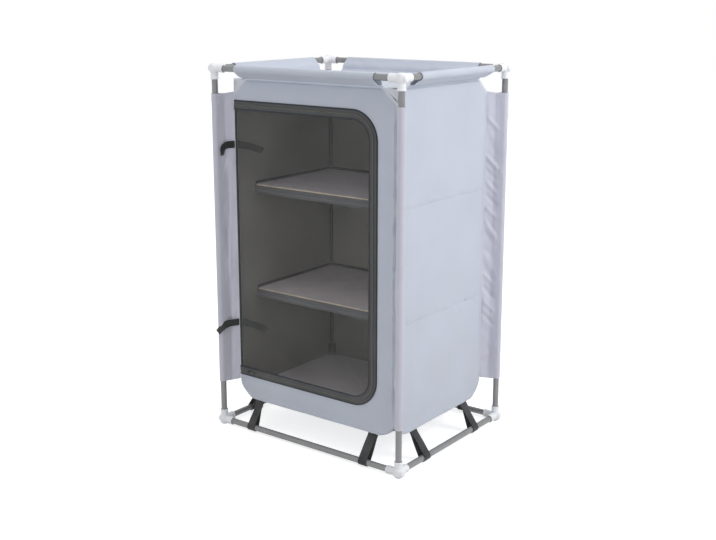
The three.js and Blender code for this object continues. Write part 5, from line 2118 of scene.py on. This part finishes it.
        draft = Draft()
        slab(draft, [outline, slot[::-1], recess[::-1]], thick, 0.25 * MM, place)
        floor = inset_loop(recess, -0.35 * MM)
        slab(draft, [floor], 0.7 * MM, 0.05 * MM, lambda rows: place(rows + [0, 0, 0.35 * MM]))
        self.finished(draft, "slider_pull", [self.finishes.zip], "zip_metal", "zip_pull", body="pull", sharp=30)

    def build(self) -> None:
        """Builds the door and its zip."""
        self.wall_half()
        self.net()
        self.slider()
        self.pull()


@dataclass
class Ties(Assembly):
    """Ribbons at the left edge of the door that hold it when it is rolled up."""

    width: float = 19 * MM
    thickness: float = 0.9 * MM

    @property
    def hang(self) -> dict[str, tuple[float, float, float]]:
        """How far each outer ribbon bends down, in degrees, its length in mm and its twist in degrees."""
        return {"upper": (86, 53, 62), "lower": (48, 69, -50)}

    def ribbon(self, name: str, node: str, path: Array, away: Array, lean: Array) -> None:
        """Builds one ribbon.

        Args:
            name: Name of the piece.
            node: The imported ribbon.
            path: Points of its middle line.
            away: Outward direction at each point.
            lean: How far the ribbon leans over at each point, in radians.
        """
        run = unit(np.gradient(path, axis=0))
        across = unit(np.cross(run, away))
        away = np.cross(across, run)
        tilt = lean[:, None]
        across, away = across * np.cos(tilt) + away * np.sin(tilt), away * np.cos(tilt) - across * np.sin(tilt)
        share = np.linspace(-1, 1, 9)
        cup = (1 - share**2) * 0.6 * MM
        outer = (path[:, None] + across[:, None] * share[None, :, None] * self.width / 2
                 + away[:, None] * cup[None, :, None])
        inner = outer - away[:, None] * self.thickness
        reach = run_along(path)
        draft = Draft()
        closed_grid(draft, outer, inner, np.stack(np.meshgrid(share * self.width / 2, reach), axis=-1))
        piece = self.finished(draft, name, [self.finishes.webbing], "webbing", node)

    def build(self) -> None:
        """Builds the two outer and the two inner ribbons."""
        root = np.array([-self.sizes.cabinet_x, -self.sizes.cabinet_y])
        for level in self.hang:
            low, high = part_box(f"tie_{level}_outer")
            share = np.linspace(0, 1, 36)
            bend, length, twist = self.hang[level]
            turn = math.radians(bend) * smooth(share, 0.25, 0.85)
            step = length * MM / (len(share) - 1)
            along, fall = (np.concatenate([[0], np.cumsum(part[1:] * step)])
                           for part in (np.cos(turn), np.sin(turn)))
            lift = 1.9 * MM + 11 * MM * np.sin(QUARTER * np.clip(along / (46 * MM), 0, 1))
            path = np.stack([root[0] - (along - lift) * DIAGONAL, root[1] - (along + lift) * DIAGONAL,
                             high.z - self.width / 2 - fall], axis=1)
            away = np.tile([DIAGONAL, -DIAGONAL, 0.0], (len(path), 1))
            lean = math.radians(twist) * smooth(share, 0.2, 1)
            self.ribbon(f"ribbon_{level}_outer", f"tie_{level}_outer", path, away, lean)
            low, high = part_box(f"tie_{level}_inner")
            span = high.x - low.x - 2 * MM
            x = low.x + span * share
            y = low.y + 1 * MM + (high.y - low.y - 2.5 * MM) * np.sin(QUARTER * share) ** 2
            z = high.z - self.width / 2 - (high.z - low.z - self.width) * share**2
            path = np.stack([x, y, z], axis=1)
            away = np.tile(FORWARD, (len(x), 1))
            self.ribbon(f"ribbon_{level}_inner", f"tie_{level}_inner", path, away, 0.8 * share**1.5)


@dataclass(frozen=True)
class Lamp:
    """A soft lamp that points at the middle of the wardrobe."""

    name: str
    place: tuple[float, float, float]
    watts: float
    size: float

    def build(self) -> None:
        """Hangs the lamp up."""
        light = bpy.data.lights.new(self.name, "AREA")
        light.energy, light.size = self.watts, self.size
        lamp = bpy.data.objects.new(self.name, light)
        lamp.location = self.place
        lamp.rotation_euler = (Vector((0, 0, 0.6)) - lamp.location).to_track_quat("-Z", "Y").to_euler()
        bpy.context.scene.collection.objects.link(lamp)


@dataclass
class Studio:
    """Plain pale floor, soft light and the camera."""

    sky: float = 0.66
    floor_glow: float = 0.7
    lamps: tuple[Lamp, ...] = (Lamp("key", (2.4, 0.4, 2.0), 28, 1.0), Lamp("top", (0.0, -0.5, 3.1), 9, 1.8),
                               Lamp("front", (-0.6, -2.8, 1.2), 5, 2.0))
    lens: float = FILM_WIDTH * 1096 / PICTURE_WIDTH
    shift: float = -20 / PICTURE_WIDTH
    place: tuple[float, float, float] = (1.7571, -2.3383, 1.1831)
    yaw: float = -37.05
    pitch: float = -13.16
    extent: float = 14.0

    def seen(self, graph: Graph) -> bpy.types.NodeSocket:
        """Finds where the camera, a reflection or a clear material looks.

        Args:
            graph: Nodes of the floor or the world.

        Returns:
            1 there and 0 elsewhere.
        """
        path = graph.add("ShaderNodeLightPath")
        rays = graph.math("MAXIMUM", path.outputs["Is Glossy Ray"], path.outputs["Is Transmission Ray"])
        return graph.math("MAXIMUM", path.outputs["Is Camera Ray"], rays)

    def build(self) -> None:
        """Builds the floor, the world, the lamps and the camera."""
        bpy.ops.mesh.primitive_plane_add(size=self.extent)
        floor = bpy.context.object
        floor.name = "studio_floor"
        material, graph, shader = started("studio_white")
        graph.feed(shader, {"Base Color": (0.72, 0.72, 0.72, 1), "Roughness": 0.9, "Specular IOR Level": 0.0,
                            "Emission Color": (1, 1, 1, 1),
                            "Emission Strength": graph.math("MULTIPLY", self.seen(graph), self.floor_glow)})
        floor.data.materials.append(material)
        world = bpy.data.worlds.new("studio_world")
        bpy.context.scene.world = world
        world.use_nodes = True
        graph = Graph(world.node_tree)
        strength = graph.math("MULTIPLY_ADD", self.seen(graph), 1 - self.sky, self.sky)
        graph.feed(world.node_tree.nodes["Background"], {"Color": (1, 1, 1, 1), "Strength": strength})
        for lamp in self.lamps:
            lamp.build()
        self.camera()
        bpy.context.scene.view_settings.view_transform = "Standard"

    def camera(self) -> None:
        """Places the camera at the picture's viewing angle."""
        data = bpy.data.cameras.new("view")
        data.lens, data.sensor_width, data.shift_y = self.lens, FILM_WIDTH, self.shift
        data.dof.use_dof = False
        camera = bpy.data.objects.new("view", data)
        camera.location = self.place
        yaw, pitch = math.radians(self.yaw), math.radians(self.pitch)
        ahead = Vector((math.sin(yaw) * math.cos(pitch), math.cos(yaw) * math.cos(pitch), math.sin(pitch)))
        camera.rotation_euler = ahead.to_track_quat("-Z", "Y").to_euler()
        bpy.context.scene.collection.objects.link(camera)
        bpy.context.scene.camera = camera


def main() -> None:
    """Builds the studio and then every sub-assembly in order."""
    logging.basicConfig(level=logging.INFO, format="%(name)s: %(message)s")
    Studio().build()
    sizes, finishes = Sizes.measured(), Finishes()
    for kind in (TubeFrame, Cabinet, Hangings, Shelves, ZipDoor, Ties):
        kind(sizes, finishes).build()


if __name__ == "__main__":
    main()
